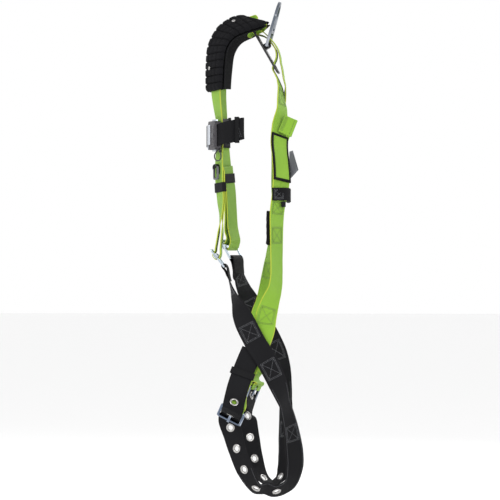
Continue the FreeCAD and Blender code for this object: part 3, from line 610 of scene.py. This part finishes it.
def eased(node, look, width, segments=3, **where):
    """A CAD node's shape with its sharp edges rounded, to stand for that node."""
    def clean(work):
        bmesh.ops.remove_doubles(work, verts=work.verts, dist=2e-6)
        bmesh.ops.dissolve_limit(work, angle_limit=math.radians(1.0), verts=work.verts, edges=work.edges)
    mesh = bpy.data.meshes.new(node + "_shape")
    rework(nodes[node].data, clean, mesh)
    mesh.materials.clear()
    mesh.materials.append(mats[look])
    piece = linked(node + "_look", mesh)
    bevel = piece.modifiers.new("edges", "BEVEL")
    bevel.width = width * MM
    bevel.segments = segments
    bevel.limit_method = "ANGLE"
    bevel.angle_limit = math.radians(30.0)
    bake_modifiers(piece)
    piece.data.polygons.foreach_set("use_smooth", [True] * len(piece.data.polygons))
    sharpen(piece.data)
    return declare(piece, look, (node,), **where)


# ---- where the hardware sits; 1 is the left side and -1 the right ----
plate_frame = tilted(RING_PIVOT, PLATE_TILT)
chest_frame = tilted(CHEST_CENTRE, 0.0, CHEST_YAW)
adjusters = {1: tilted(vec(88, -134.4, -519), 38.0), -1: tilted(vec(-90, -116.5, -498.3), 30.0, -24.0)}
buckles = {
    1: frame_placement(vec(107, -94, -862), unit(vec(0, 0.89, -0.45)), unit(vec(0.74, 0.303, 0.6))),
    -1: frame_placement(vec(-104, -66, -830), unit(vec(0.94, -0.318, 0.1265)), unit(vec(0, 0.37, 0.93)))}


# ---- routes ----
# Around an adjuster's slider, from the tail to the main ply, as (y, z) in the adjuster's frame.
SLIDER_LOOP = [
    (18, -6), (11, -15), (4.5, -20.3), (-1.5, -21.2), (-4.6, -18.3), (-5, -14), (-4.6, -9.7), (-1.5, -7),
    (4.5, -5.2), (12, 2)]
# Around an adjuster's bottom bar, from the short sewn ply to the long one.
BAR_LOOP = [
    (-9.6, -74), (-3.2, -60), (2.2, -50), (4.2, -42.5), (2.9, -37.6), (0, -36.3), (-2.9, -37.6),
    (-4.2, -42.5), (-4.2, -50), (-7.6, -62)]
# Through a tongue buckle: behind its bottom bar, out through the frame, and over its top bar.
BUCKLE_PATH = [(5.5, -29), (4.6, -18), (3.2, -8), (-1.4, 0), (-6.2, 8), (-8.0, 18), (-8.6, 28)]
# The lime webbing's end around the buckle's top bar.
BUCKLE_LOOP = [
    (7.6, 31), (4.6, 25), (4.1, 18.5), (2.6, 14.9), (0, 13.9), (-2.6, 14.9), (-4.1, 18.5), (-2.6, 22.1),
    (1.2, 25.5)]
# Past the plate, in the plate's frame as (x share, y, z): one strap stays outside the plate, the other
# goes in through the top slot and out through the bottom one, and they cross behind the ring's bar.
PLATE_OVER = [
    (1.0, 2.6, 40), (0.85, 7.8, 24), (0.55, 11.4, 11), (0, 13.9, -6), (-0.45, 13.6, -20), (-0.7, 10.0, -34),
    (-0.9, 5.0, -46), (-1.0, 1.6, -57)]
PLATE_UNDER = [
    (1.0, -15.4, 48), (0.9, -13.4, 39), (0.8, -6.0, 30), (0.7, 2.0, 21.5), (0.5, 7.0, 11), (0, 9.6, -6),
    (-0.45, 9.0, -20), (-0.8, 2.5, -33), (-0.95, -9.4, -43), (-1.0, -15.6, -50), (-1.0, -16.4, -60)]


def crossing(points, side):
    return [(*(plate_frame @ vec(side * share * PLATE_SPREAD, y, z)), 0) for share, y, z in points]


# Front of the harness, upwards from the adjuster to the shoulder.
TAIL_LEFT = [
    (84, -117.4, -352, 25), (85, -116, -386, 24), (86.4, -113.8, -418, 20), (88, -113, -445, 8),
    (88, -113.5, -480, 0)]
FRONT_LEFT = [
    (88, -121, -479, 0), (88, -117, -445, -10), (87, -117.4, -418, -20), (86, -119.4, -386, -24),
    (85, -121, -352, -26), (83, -120.5, -315, -22), (80, -118.5, -277, -20), (81, -121, -243, -21),
    (81, -126, -205, -26), (80, -128, -174, -30), (77, -127, -125, -32)]
SHOULDER_LEFT = [
    (72, -122, -89, -34), (64, -105, -61, -36), (52, -80, -45, -36), (38, -57, -38, -28),
    (24, -45, -36, (0.5, 0.8, 0))]
TAIL_RIGHT = [
    (-83.6, -115.2, -338, -22), (-84.8, -112.6, -364, -22), (-86, -109, -390, -22), (-88, -107, -430, -23),
    (-89, -105, -468, -24)]
FRONT_RIGHT = [
    (-89, -112, -476, 24), (-88, -112, -450, 23), (-87, -112.4, -411, 22), (-86, -115.8, -364, 22),
    (-85, -119.5, -330, 22), (-83, -124.5, -280, 23), (-82, -127, -240, 24), (-80, -130, -180, 26),
    (-77, -127, -125, 28)]
SHOULDER_RIGHT = [
    (-72, -121, -89, 30), (-64, -104, -62, 32), (-52, -79, -47, 32), (-38, -58, -40, 16),
    (-27, -55, -39.5, -3)]

# Back of the harness, downwards from the plate to the leg buckle.
BACK_LEFT = [
    (8, 0, -160, -2), (14, 4.5, -176, -9), (23, 6.2, -198, -16), (29, 8, -222, -26),
    (36, 4, -256, (0.66, -0.66, 0.3)), (48, 2, -295, (0.62, -0.70, 0.36)),
    (60, 6, -331, (0.62, -0.70, 0.36)), (72, 9, -373, (0.64, -0.72, 0.26)),
    (79, 5, -407, (0.76, -0.65, 0.1)), (82, 1, -437, -38), (83, 0, -471, -34), (83, 0, -502, -32),
    (84, 0, -538, -30), (85, 0, -570, -30), (87, -3, -598, -36), (90, -13, -627, -56), (92, -21, -655, -78),
    (93, -26, -687, -90), (93.5, -38, -719, -90), (94, -54, -750, -90), (95, -70, -784, -90),
    (98, -82, -812, (0, -0.9, 0.42))]
BACK_RIGHT = [
    (-9, 9.5, -152, 0), (-15, 13, -174, 3), (-25, 8.8, -204, 15), (-34, -4, -245, 30), (-46, -7, -295, 34),
    (-58, -8, -340, 34), (-68, -9, -385, 34), (-74, -8, -425, 32), (-78, -10, -464, 30),
    (-80, -18, -502, 28), (-82, -25, -534, 26), (-84, -28, -570, 42), (-87, -30, -602, 60),
    (-90, -34, -628, 76), (-92, -43, -655, 86), (-93, -49, -682, 90), (-93.5, -54, -712, 90),
    (-95, -57, -745, 100), (-99, -57, -775, 128), (-102, -56, -795, (-0.94, 0.318, -0.1265))]

# Black leg webbing: from the adjuster's bottom bar, past the hip, down the back, round the bottom.
LEG_LEFT = [
    (92, -93, -600, 12), (94, -84, -625, 30), (97, -74, -649, 62), (99, -62, -676, 86), (100, -42, -714, 90),
    (99, -19, -750, 100), (93, 3, -797, 122), (84, 17, -840, 152), (72, 29, -890, 140), (63, 36, -938, 128),
    (59, 37, -972, 130), (60, 29, -1005, 145), (64, 13, -1019, 147), (70, -5, -1024, 143),
    (77, -23, -1018, 139), (85, -44, -1016, 142), (89, -66, -980, 125), (86, -82, -938, 120),
    (78.5, -92.5, -904, 112)]
TAIL_UP_LEFT = [
    (131.5, -86.5, -839, (0, -0.9, 0.42)), (121.5, -84, -825, (0, -0.9, 0.42)),
    (112, -78, -800, (0, -0.92, 0.38)), (104, -70, -776, 92), (98.5, -60, -750, 90), (96.8, -50, -727, 90)]
LEG_RIGHT = [
    (-92.5, -91, -575, -26), (-94, -80, -604, -40), (-96.5, -65, -636, -72), (-98.5, -47, -668, -88),
    (-100, -28, -702, -90), (-99, -11, -738, -98), (-95, -1, -772, -112), (-91, 5, -806, -128),
    (-87, 9, -840, -140), (-83, 10, -880, -136), (-80, 11, -920, -128), (-78, 11, -960, -126),
    (-76, 5, -992, -138), (-75, -8, -1011, (-0.9, 0, 0.42)), (-76, -24, -1016, (-0.95, 0, 0.25)),
    (-80, -43, -1000, -150), (-84, -58, -965, -128), (-88, -67, -925, -118), (-93, -72, -885, -126),
    (-98, -74, -868, (-0.8, 0.58, -0.1))]
TAIL_UP_RIGHT = [
    (-107, -62, -794, (-0.94, 0.318, -0.1265)), (-104, -62, -770, -125), (-103.5, -60, -746, -95),
    (-102, -56, -722, -90)]


def main_route(side, tail, front, shoulder, plate_points, back):
    """One lime strap: tail, adjuster, front, shoulder, dorsal crossing, back and the other side's buckle."""
    loop = local_stations(adjusters[side], SLIDER_LOOP)
    end = local_stations(buckles[-side], BUCKLE_LOOP, -1)
    return tail + loop + front + shoulder + crossing(plate_points, side) + back + end


def leg_route(side, leg, tail):
    """One black leg strap: adjuster loop, hip, thigh, buckle and tail."""
    loop = local_stations(adjusters[side], BAR_LOOP)
    return loop + leg + local_stations(buckles[side], BUCKLE_PATH, -1) + tail


strap_a = Web(main_route(1, TAIL_LEFT, FRONT_LEFT, SHOULDER_LEFT, PLATE_OVER, BACK_RIGHT))
strap_b = Web(main_route(-1, TAIL_RIGHT, FRONT_RIGHT, SHOULDER_RIGHT, PLATE_UNDER, BACK_LEFT))
leg_left = Web(leg_route(1, LEG_LEFT, TAIL_UP_LEFT))
leg_right = Web(leg_route(-1, LEG_RIGHT, TAIL_UP_RIGHT))


def level(*points):
    """Stations of webbing that runs level, with its width upright."""
    return [(*point, UP) for point in points]


# Chest webbing.
CHEST_LEFT = level(
    (120, -112.6, -274), (122, -104.5, -272), (115, -94.5, -269), (100.5, -84, -266), (97, -74, -263),
    (92, -68.5, -262), (87.5, -73, -263), (88, -84, -266), (90, -97, -270), (89, -107.5, -272))
CHEST_RIGHT = level(
    (-8, -153.5, -277), (-30, -149.5, -276), (-50, -144.5, -276), (-68, -138.8, -276), (-88, -130.8, -276),
    (-104.5, -123, -276), (-110, -116.5, -276), (-102, -112, -276), (-86, -117.6, -276), (-66, -126.4, -276))
# Around the latch plate's end bar, as (x, y) in the buckle's frame.
LATCH_LOOP = [
    (-56, 4.2), (-47, 3.8), (-40, 3.2), (-36.8, 2.4), (-35.6, 0), (-36.8, -2.4), (-40, -3.2), (-47, -3.4)]


def chest_stations(points):
    """Level stations from (x, y) points in the chest buckle's frame."""
    return [(*(chest_frame @ vec(x, y, 0)), UP) for x, y in points]


# ---- straps ----
def make_main_straps():
    """The lime straps; each one's end round the leg buckle is two strips that leave room for the tongue."""
    room = 9.0
    strip = (WEB_WIDTH - room) / 2
    for name, web, *stands_for in (
            ("strap_a", strap_a, "strap_left_shoulder_right_leg", "buckle_loop_right"),
            ("strap_b", strap_b, "strap_right_shoulder_left_leg", "buckle_loop_left")):
        cut = (len(web.route) - len(BUCKLE_LOOP) + 1) * STEPS
        shape = Shape()
        add_web(shape, web.spots[:cut + 1], cells=14)
        for side in (-1, 1):
            shift = side * (room + strip) / 2
            add_web(shape, web.spots[cut:], strip, shift=shift, cells=5, start=web.run[cut])
        new_piece(name, shape, "lime_webbing", *stands_for)


def make_leg_straps():
    for side, web, tail in (("left", leg_left, TAIL_UP_LEFT), ("right", leg_right, TAIL_UP_RIGHT)):
        shape = Shape()
        add_web(shape, web.spots, cells=14)
        piece = new_piece("leg_web_" + side, shape, "black_webbing", "leg_strap_" + side)
        cutter = Shape()
        rings = Shape()
        hole = web.station(web.route.index(tail[0]) - len(BUCKLE_PATH) + BUCKLE_PATH.index((-1.4, 0)))
        for number in range(-5, 2):
            point, travel, across, normal = web.at(hole + number * GROMMET_PITCH)
            rim = circle(across, travel, HOLE_R, 28)
            cutter.loft([[point + c + normal * depth for c in rim] for depth in (-5, 5)])
            add_grommet(rings, point, travel, across, normal)
        knife = linked("knife", cutter.mesh("knife"))
        cut = piece.modifiers.new("holes", "BOOLEAN")
        cut.operation = "DIFFERENCE"
        cut.object = knife
        cut.solver = "EXACT"
        bake_modifiers(piece)
        bpy.data.objects.remove(knife)
        sharpen(piece.data, 50.0)
        new_piece("grommet_rings_" + side, rings, "nickel", "grommets_" + side)


def add_grommet(shape, point, travel, across, normal):
    """A rolled eyelet: domed flange on both faces and a smooth throat."""
    face = [(GROMMET_R, 1.3), (GROMMET_R - 0.1, 1.7), (GROMMET_R - 0.7, 2.15), (GROMMET_R - 1.7, 2.42),
            (GROMMET_R - 2.8, 2.4), (GROMMET_R - 3.6, 2.05), (GROMMET_BORE + 0.15, 1.4), (GROMMET_BORE, 0.6)]
    throat = [(HOLE_R - 0.2, -1.2), (HOLE_R - 0.2, 1.2)]
    outline = face + [(r, -h) for r, h in reversed(face)] + throat
    rings = [[point + out * r + normal * h for r, h in outline] for out in circle(across, travel, 1.0, 36)]
    shape.loft(rings, closed=True)


# ---- shoulder pads ----
PAD_PITCH = 15.5
PAD_WIDTH = 74.0
PAD_THICK = 9.0
PAD_GAP = WEB_THICK / 2 + 0.8
LINING_THICK = 2.5


def rib(s):
    """1 on a rib's top and 0 in a groove."""
    share = s / PAD_PITCH % 1.0
    return math.sin(min(1.0, min(share, 1.0 - share) / 0.2) * math.pi / 2)


def pad_ring(point, travel, across, s, total):
    """A pad's section: ribs and three channels on a crowned top, and a flat underside."""
    out = across.cross(travel)
    ends = min(s, total - s)
    high = rib(s)
    half = (PAD_WIDTH / 2 - 1.9 * (1 - high)) * min(1.0, 0.94 + ends / 60.0)
    full = PAD_THICK * min(1.0, 0.55 + ends / 16.0)
    ring = []
    for k in range(27):
        v = -half + half * k / 13
        crown = math.sqrt(max(0.0, 1 - (abs(v) / half) ** 5))
        channel = 0.16 * math.exp(-((abs(v) - 17.0) / 1.6) ** 2) + 0.10 * math.exp(-(v / 1.4) ** 2)
        height = full * (0.62 + 0.38 * high - channel) * (0.25 + 0.75 * crown)
        ring.append(point + across * v + out * (PAD_GAP + max(height, 1.2)))
    for k in range(8, -1, -1):
        ring.append(point + across * ((-half + half * k / 4) * 0.985) + out * PAD_GAP)
    return ring


def make_pads():
    for side, web, front in (("left", strap_a, FRONT_LEFT), ("right", strap_b, FRONT_RIGHT)):
        first = web.route.index(front[-2])
        start = web.station(first + PAD_LOW[side])
        end = web.station(first + PAD_HIGH[side])
        total = end - start + PAD_EXTRA[side]
        spots = web.part(start, start + total, 1.1)
        shape = Shape()
        shape.loft([pad_ring(*spot, total * i / (len(spots) - 1), total) for i, spot in enumerate(spots)])
        pad = new_piece("pad_" + side, shape, "pad_cover", "shoulder_pad_" + side)
        sharpen(pad.data, 60.0)
        inner = WEB_THICK / 2 + 1.2 + LINING_THICK / 2
        lining = web_piece("lining_" + side, web.part(start, end, 3.0), "pad_lining", "pad_lining_" + side,
                           width=PAD_WIDTH - 2, thick=LINING_THICK, offset=inner, cells=16)
        snaps = Shape()
        for share in (0.24, 0.78):
            point, travel, across, normal = web.at(start + (end - start) * share)
            face = point - normal * (PAD_GAP + PAD_THICK * 0.93) - across * 12
            add_dome(snaps, face, travel, across, -normal, 4.2, 1.7)
        new_piece("snaps_" + side, snaps, "nickel", "pad_snaps_" + side)


def add_dome(shape, point, travel, across, normal, radius, height):
    """A snap's cap, with a dimple in its middle."""
    outline = ((1.0, -1.0), (1.0, 0.2), (0.93, 0.6), (0.72, 0.9), (0.4, 1.0), (0.34, 0.82), (0.08, 0.8))
    rim = circle(across, travel, radius, 24)
    shape.loft([[point + c * r + normal * height * h for c in rim] for r, h in outline])


# ---- bands and lanyard keepers ----
def band(name, node, placement, half_x, half_y, length, thick, body="harness"):
    """An elastic loop round a strap, in the local XY plane, with gathered faces."""
    corner = min(1.6, half_y - 0.05)
    dx, dy = half_x - corner, half_y - corner
    path = []
    for quarter, (cx, cy) in enumerate(((dx, dy), (-dx, dy), (-dx, -dy), (dx, -dy))):
        for k in range(7):
            a = math.radians(90 * quarter + 15 * k)
            path.append((cx + corner * math.cos(a), cy + corner * math.sin(a), math.cos(a), math.sin(a)))
        if quarter in (0, 2):
            sign = 1 - quarter
            path += [(cx - sign * dx * k / 12, cy + sign * corner, 0, sign) for k in range(1, 24)]
    profile = web_profile(length, thick, 8)
    rings = []
    flats = []
    run = 0.0
    last = path[0]
    for x, y, nx, ny in path:
        run += math.dist((x, y), last[:2])
        last = (x, y)
        puff = 0.12 * math.sin(run / 1.1)
        rings.append([placement @ vec(x + nx * (n + puff), y + ny * (n + puff), v) for v, n in profile])
        flats.append([(run * MM, v * MM) for v, n in profile])
    shape = Shape()
    shape.loft(rings, flats, closed=True)
    new_piece(name, shape, "elastic_band", node, body=body)


def front_spot(web, front, z):
    """The place on a front strap nearest a height, and the direction out of its face, as in the part."""
    first = web.route.index(front[0])
    coarse = sections(web.route, 4)[first * 4:(first + len(front) - 1) * 4]
    point, travel, across = min(coarse, key=lambda spot: abs(spot[0].z - z))
    return point, travel, across, across.cross(travel)


def make_front_fittings():
    for side, web, front, band_z, clip_z in (("left", strap_a, FRONT_LEFT, -386, -341),
                                             ("right", strap_b, FRONT_RIGHT, -364, -315)):
        point, travel, across, outward = front_spot(web, front, band_z)
        place = frame_placement(point - outward * (PLY_GAP / 2), across, travel)
        band("elastic_band_" + side, "elastic_keeper_" + side, place, 24.0, 4.1, 20.0, 1.4, "elastic_" + side)
        point, travel, across, outward = front_spot(web, front, clip_z)
        sideways = unit(vec(across.x, across.y, 0))
        place = frame_placement(point + outward * 6.6, sideways, vec(0, 0, 1))
        out = -1 if (place.to_3x3() @ vec(0, 1, 0)).dot(outward) < 0 else 1
        bend = ((-4.3, -15), (-4.3, -8), (-4.2, 0), (-3.1, 4.5), (0, 5.4), (3.5, 3.5), (4.5, -1), (4.2, -5.2))
        tab = Web(local_stations(place, [(out * y, z) for y, z in bend]))
        web_piece("lanyard_loop_" + side, tab.spots, "narrow_webbing", "lanyard_tab_" + side,
                  width=16.0, thick=1.2, cells=6)
        rows = Shape()
        bar_rows(rows, tab, 3.5, 2, 2.4, 11.0, lift=0.7)
        new_piece("lanyard_stitch_" + side, rows, "light_thread")


# ---- chest ----
def make_chest():
    left = Web(chest_stations([(27.4, 0), (30.8, 0.2)]) + CHEST_LEFT)
    right = Web(chest_stations(LATCH_LOOP) + CHEST_RIGHT)
    web_piece("chest_web_left", left.spots, "black_webbing", "chest_strap_left")
    web_piece("chest_web_right", right.spots, "black_webbing", "chest_strap_right")
    rows = Shape()
    box_cross(rows, right, 16.0, 14.0, 32.0, (-1,))
    box_cross(rows, left, left.run[-1] - 16.0, 18.0, 32.0, (1,))
    bar_rows(rows, left, left.run[-1] / 2, 3)
    new_piece("chest_stitching", rows, "light_thread")
    turned = frame_placement(vec(94, -82.5, -265.5), vec(0, 0, 1), vec(0, 1, 0))
    band("chest_band", "chest_strap_keeper", turned, 26.6, 11.6, 9.0, 1.4)


def add_block(shape, low, high, ease=0.5):
    """A small raised block on the chest buckle, with chamfered top edges towards -Y."""
    (x0, y0, z0), (x1, y1, z1) = low, high
    base = [(x0, y1, z0), (x1, y1, z0), (x1, y1, z1), (x0, y1, z1)]
    middle = [(x, y0 + ease, z) for x, _, z in base]
    top = [(x + (ease if x == x0 else -ease), y0, z + (ease if z == z0 else -ease)) for x, _, z in base]
    shape.loft([[chest_frame @ vec(*p) for p in ring] for ring in (base, middle, top)])


def make_chest_detail():
    """Grip ribs, a raised rim and two plain marks on the cover, and a plate on the body's outer end."""
    ribs = Shape()
    for z in (-16, -12, -8, 8, 12, 16):
        add_block(ribs, (0, -7.4, z - 1), (18, -6.3, z + 1))
    for x0, z0, x1, z1 in ((-4, -22.5, 23, -20.3), (-4, 20.3, 23, 22.5),
                           (-6.2, -20.3, -4, 20.3), (20.8, -20.3, 23, 20.3)):
        add_block(ribs, (x0, -7.4, z0), (x1, -6.3, z1))
    plate = Shape()
    add_block(plate, (-28.5, -8.4, -19), (-9, -6.4, 23), 0.9)
    add_block(plate, (-28.5, -8.0, -29), (-24.0, -6.4, -19.5), 0.7)
    marks = Shape()
    for x in (6.5, 12.0):
        add_block(marks, (x - 1.4, -7.9, -5), (x + 1.4, -7.0, 5), 0.3)
    new_piece("chest_front_plate", plate, "tab_metal", slot="forged_steel", smooth=False)
    new_piece("chest_marks", marks, "keeper_grey", smooth=False)
    new_piece("chest_cover_ribs", ribs, "grey_plastic", smooth=False)


def add_cord():
    points = [
        (107.9, -120.0, -305.9), (103.3, -125.7, -312.1), (100.3, -129.6, -318.4), (101.0, -128.7, -326.3),
        (105.0, -123.6, -331.0), (109.8, -117.5, -329.5), (112.4, -114.2, -322.7), (111.4, -115.4, -315.0),
        (105.5, -118.4, -306.1)]
    data = bpy.data.curves.new("cord", "CURVE")
    data.dimensions = "3D"
    data.bevel_depth = 1.3 * MM
    data.bevel_resolution = 4
    data.resolution_u = 16
    data.use_fill_caps = True
    spline = data.splines.new("NURBS")
    spline.points.add(len(points) - 1)
    for target, point in zip(spline.points, points):
        target.co = [c * MM for c in point] + [1.0]
    spline.order_u = 3
    spline.use_endpoint_u = True
    data.materials.append(mats["cord_braid"])
    cord = declare(linked("cord", data), "cord_braid", ("release_cord",))
    bead = eased("cord_bead", "black_plastic", 0.6)


# ---- back ----
def folded(name, spots, width, node):
    """A strip folded back on itself: two plies and the bend between them."""
    thick, gap = 4.6, 0.5
    ply = (thick - gap) / 2
    lift = (ply + gap) / 2
    out = [(p + t.cross(a) * lift, t, a) for p, t, a in spots]
    back = [(p - t.cross(a) * lift, -t, a) for p, t, a in reversed(spots)]
    tip, travel, across = spots[-1]
    normal = travel.cross(across)
    bend = []
    for k in range(1, 8):
        c, s = math.cos(math.pi * k / 8), math.sin(math.pi * k / 8)
        bend.append((tip + (normal * c + travel * s) * lift, unit(travel * c - normal * s), across))
    web_piece(name, out + bend + back, "lime_webbing", node, width=width, thick=ply, cells=12)


def make_back():
    rows = Shape()
    folds = (("left", 39.0, -1, ((40, 8, -250), (38.5, 21, -256), (37, 33, -261))),
             ("right", 36.0, 1, ((-40, -1.5, -262), (-38.5, 10, -267), (-37, 20, -271))))
    for side, width, sign, points in folds:
        web = Web([(*point, (0.3, sign * 0.42, sign * 0.86)) for point in points])
        folded("indicator_" + side, web.spots, width, "fall_indicator_" + side)
        bar_rows(rows, web, 5.0, 3, 2.4, width - 6, lift=2.45)
        bar_rows(rows, web, web.run[-1] - 4, 1, width=width - 6, lift=2.45)
    new_piece("indicator_stitching", rows, "dark_thread")
    make_label_pouch()

    cross_strap = level(
        (98.5, -7.7, -400), (81, 8.0, -400), (64, 22.6, -400), (50, 27, -402), (24, 24, -404),
        (-8, 18, -404), (-36, 13.5, -402), (-54, 7.6, -400), (-73, -5.4, -400), (-92, -18.4, -400))
    web = Web(cross_strap)
    web_piece("back_web", web.spots, "narrow_webbing", "back_cross_strap", width=27.0)
    rows = Shape()
    for s in (18.0, web.run[-1] - 16.0):
        box_cross(rows, web, s, 26.0, 20.0)
    new_piece("back_web_stitching", rows, "light_thread")

    label = [(80.2, 11.2, -387, (0.76, -0.65, 0.1)), (80.6, 10.8, -396, (0.76, -0.65, 0.1))]
    web_piece("small_label", sections(label), "label_cloth", "woven_label",
              width=20.0, thick=0.8, offset=-0.4, cells=6)
    make_pouches()


def make_label_pouch():
    top = strap_b.route.index(BACK_LEFT[4]) + 0.5
    start, end = strap_b.station(top), strap_b.station(top + 2.5)
    edge = 20.4
    border = 5.0
    shape = Shape()
    spots = strap_b.part(start, end, 2.0)
    add_web(shape, spots, 46.0, 2.4, -2.8, cells=12)
    for shift in (-edge, edge):
        add_web(shape, spots, border, 2.0, -4.5, shift, 4, bulge=0.0)
    for low, high in ((start, start + border), (end - border, end)):
        add_web(shape, strap_b.part(low, high, 1.0), 46.0, 2.0, -4.5)
    new_piece("pouch_border", shape, "label_cloth", "label_pouch")
    web_piece("pouch_window", strap_b.part(start + 4, end - 4, 2.0), "label_lime", "label_window",
              width=37.0, thick=0.9, offset=-4.4, cells=12)
    rows = Shape()
    for v in (-edge, edge):
        stitch_line(rows, strap_b, [(start + 4, v), (end - 4, v)], (-1,), 5.6, 3.6)
    new_piece("pouch_stitching", rows, "dark_thread", slot="label_cloth")
    make_booklet()


def make_booklet():
    """Four thin leaves, each a little shorter and more curled than the one before."""
    cells = 8
    leaves = Shape()
    for leaf in range(4):
        x = 45.0 + 0.42 * leaf
        corners = ((24.6, -310), (32, -307.5), (44, -348.5), (24.6, -370))
        top, top_out, low_out, low = (vec(x, *corner) for corner in corners)
        rings = []
        for i in range(cells + 1):
            u = i / cells
            reach = u * (1 - 0.03 * leaf)
            face = []
            for k in range(cells + 1):
                w = k / cells
                curl = vec((0.5 + 0.5 * leaf) * u * u * math.sin(w * 2.4), 0, 0)
                face.append(top.lerp(top_out, reach).lerp(low.lerp(low_out, reach), w) + curl)
            rings.append(face + [p + vec(0.28, 0, 0) for p in reversed(face)])
        leaves.loft(rings)
    new_piece("booklet", leaves, "label_paper", "label_booklet", smooth=False)


def soft_pouch(side, stations, width):
    """A flat filled pouch that thins to its edges, with a flap over its upper third."""
    thick = 6.0
    web = Web(stations)
    shape = Shape()
    for high, wide, deep, lift in ((1.0, width, thick, 0.0), (0.42, width + 0.8, thick * 0.4, 1.0)):
        spots = web.part(0.0, web.run[-1] * high, 2.0)
        rings = []
        for i, (point, travel, across) in enumerate(spots):
            normal = travel.cross(across)
            share = i / (len(spots) - 1)
            close = min(1.0, 0.35 + min(share, 1 - share) * 6)
            ring = []
            for a in turns(40):
                v = math.copysign(abs(math.cos(a)) ** 0.4, math.cos(a)) * wide / 2
                n = math.copysign(abs(math.sin(a)) ** 0.75, math.sin(a)) * deep / 2 * close
                pucker = 0.25 * math.sin(v / 4.0 + i * 0.9) * close
                wide_here = v * (0.97 + 0.03 * close)
                ring.append(point + across * wide_here + normal * (n + pucker - lift * thick * 0.4))
            rings.append(ring)
        shape.loft(rings)
    piece = new_piece("step_pouch_" + side, shape, "pouch_cloth", "trauma_pouch_" + side)


def make_pouches():
    soft_pouch("left", [(78.3, -3.7, -437, -38), (79.6, -5.0, -462, -34), (79.8, -5.1, -485, -33),
                        (79.8, -5.1, -507, -32)], 53.0)
    soft_pouch("right", [(-71.6, -13.6, -436, 32), (-75, -15.2, -464, 30), (-76.4, -19.6, -485, 29),
                         (-77.3, -24.5, -507, 28)], 43.0)
    loop = level((82, 10.5, -422), (76.5, 16.5, -421), (69.5, 17.5, -421))
    web_piece("step_loop", sections(loop), "elastic_band", "trauma_loop", slot="black_webbing",
              width=12.0, thick=2.0, cells=5)


def make_tail_keepers():
    for side, web, spot in (("left", leg_left, TAIL_UP_LEFT[-3]), ("right", leg_right, TAIL_UP_RIGHT[-2])):
        point, travel, across = web.spots[web.route.index(spot) * STEPS]
        place = frame_placement(point, across, travel)
        band("tail_band_" + side, "tail_keeper_" + side, place, 25.7, 2.9, 14.0, 1.0)


# ---- stitch patterns on the long webs ----
def make_stitching():
    """Box-and-cross patterns as (web, height, the two shares of its length to look between, size)."""
    dark = Shape()
    light = Shape()
    lime = (
        (strap_a, -498, 0.0, 0.35, 30.0), (strap_a, -190, 0.5, 1.0, 34.0), (strap_b, -195, 0.5, 1.0, 34.0),
        (strap_b, -488, 0.5, 1.0, 34.0), (strap_b, -656, 0.5, 1.0, 36.0), (strap_a, -560, 0.5, 1.0, 34.0),
        (strap_b, -430, 0.5, 1.0, 26.0), (strap_b, -790, 0.6, 1.0, 26.0), (strap_a, -775, 0.6, 1.0, 26.0))
    legs = (
        (leg_left, -688, 0.0, 0.5, 36.0), (leg_left, -768, 0.0, 0.5, 40.0), (leg_left, -598, 0.05, 0.5, 28.0),
        (leg_right, -640, 0.05, 0.5, 36.0), (leg_right, -732, 0.0, 0.5, 40.0),
        (leg_right, -580, 0.05, 0.5, 26.0), (leg_left, -905, 0.0, 0.6, 34.0),
        (leg_right, -900, 0.0, 0.6, 34.0))
    for shape, patterns in ((dark, lime), (light, legs)):
        for web, z, first, last, size in patterns:
            box_cross(shape, web, web.near(z, first, last), size, 33.0)
    for web in (leg_left, leg_right):
        start = web.near(-800, 0.1, 0.5)
        end = web.near(-980, 0.2, 0.7)
        for v in (-19.0, 19.0):
            stitch_line(light, web, [(start, v), (end, v)], pitch=4.2)
    new_piece("stitching_on_lime", dark, "dark_thread")
    new_piece("stitching_on_black", light, "light_thread")


def make_hardware():
    """The metal and plastic pieces: node, material and the width of its eased edges."""
    eased("dorsal_d_ring", "forged_steel", 1.7, 4, body="dorsal_ring")
    eased("dorsal_plate", "black_plastic", 0.9)
    eased("web_stop", "black_plastic", 0.7)
    eased("chest_buckle_body", "grey_plastic", 1.2)
    eased("chest_buckle_cover", "grey_plastic", 1.2)
    eased("chest_buckle_rivets", "tab_metal", 0.3, slot="forged_steel")
    eased("chest_latch_plate", "zinc_steel", 0.4, slot="forged_steel")
    for height in ("upper", "lower"):
        eased("release_tab_" + height, "tab_metal", 0.6, body="release_" + height)
        spring = nodes["release_spring_" + height].data
        spring.materials.clear()
        spring.materials.append(mats["tab_metal"])
    for side in ("left", "right"):
        eased("adjuster_frame_" + side, "zinc_steel", 0.6)
        eased("adjuster_slider_" + side, "zinc_steel", 0.5, body="slider_" + side)
        eased("leg_buckle_frame_" + side, "blued_steel", 0.8)
        eased("leg_buckle_tongue_" + side, "blued_steel", 0.5, body="tongue_" + side)
        eased("lanyard_keeper_" + side, "keeper_grey", 0.9, body="lanyard_" + side)


add_camera()
add_studio()
mats = make_materials()
add_cord()
make_main_straps()
make_leg_straps()
make_pads()
make_hardware()
make_chest()
make_chest_detail()
make_front_fittings()
make_back()
make_tail_keepers()
make_stitching()
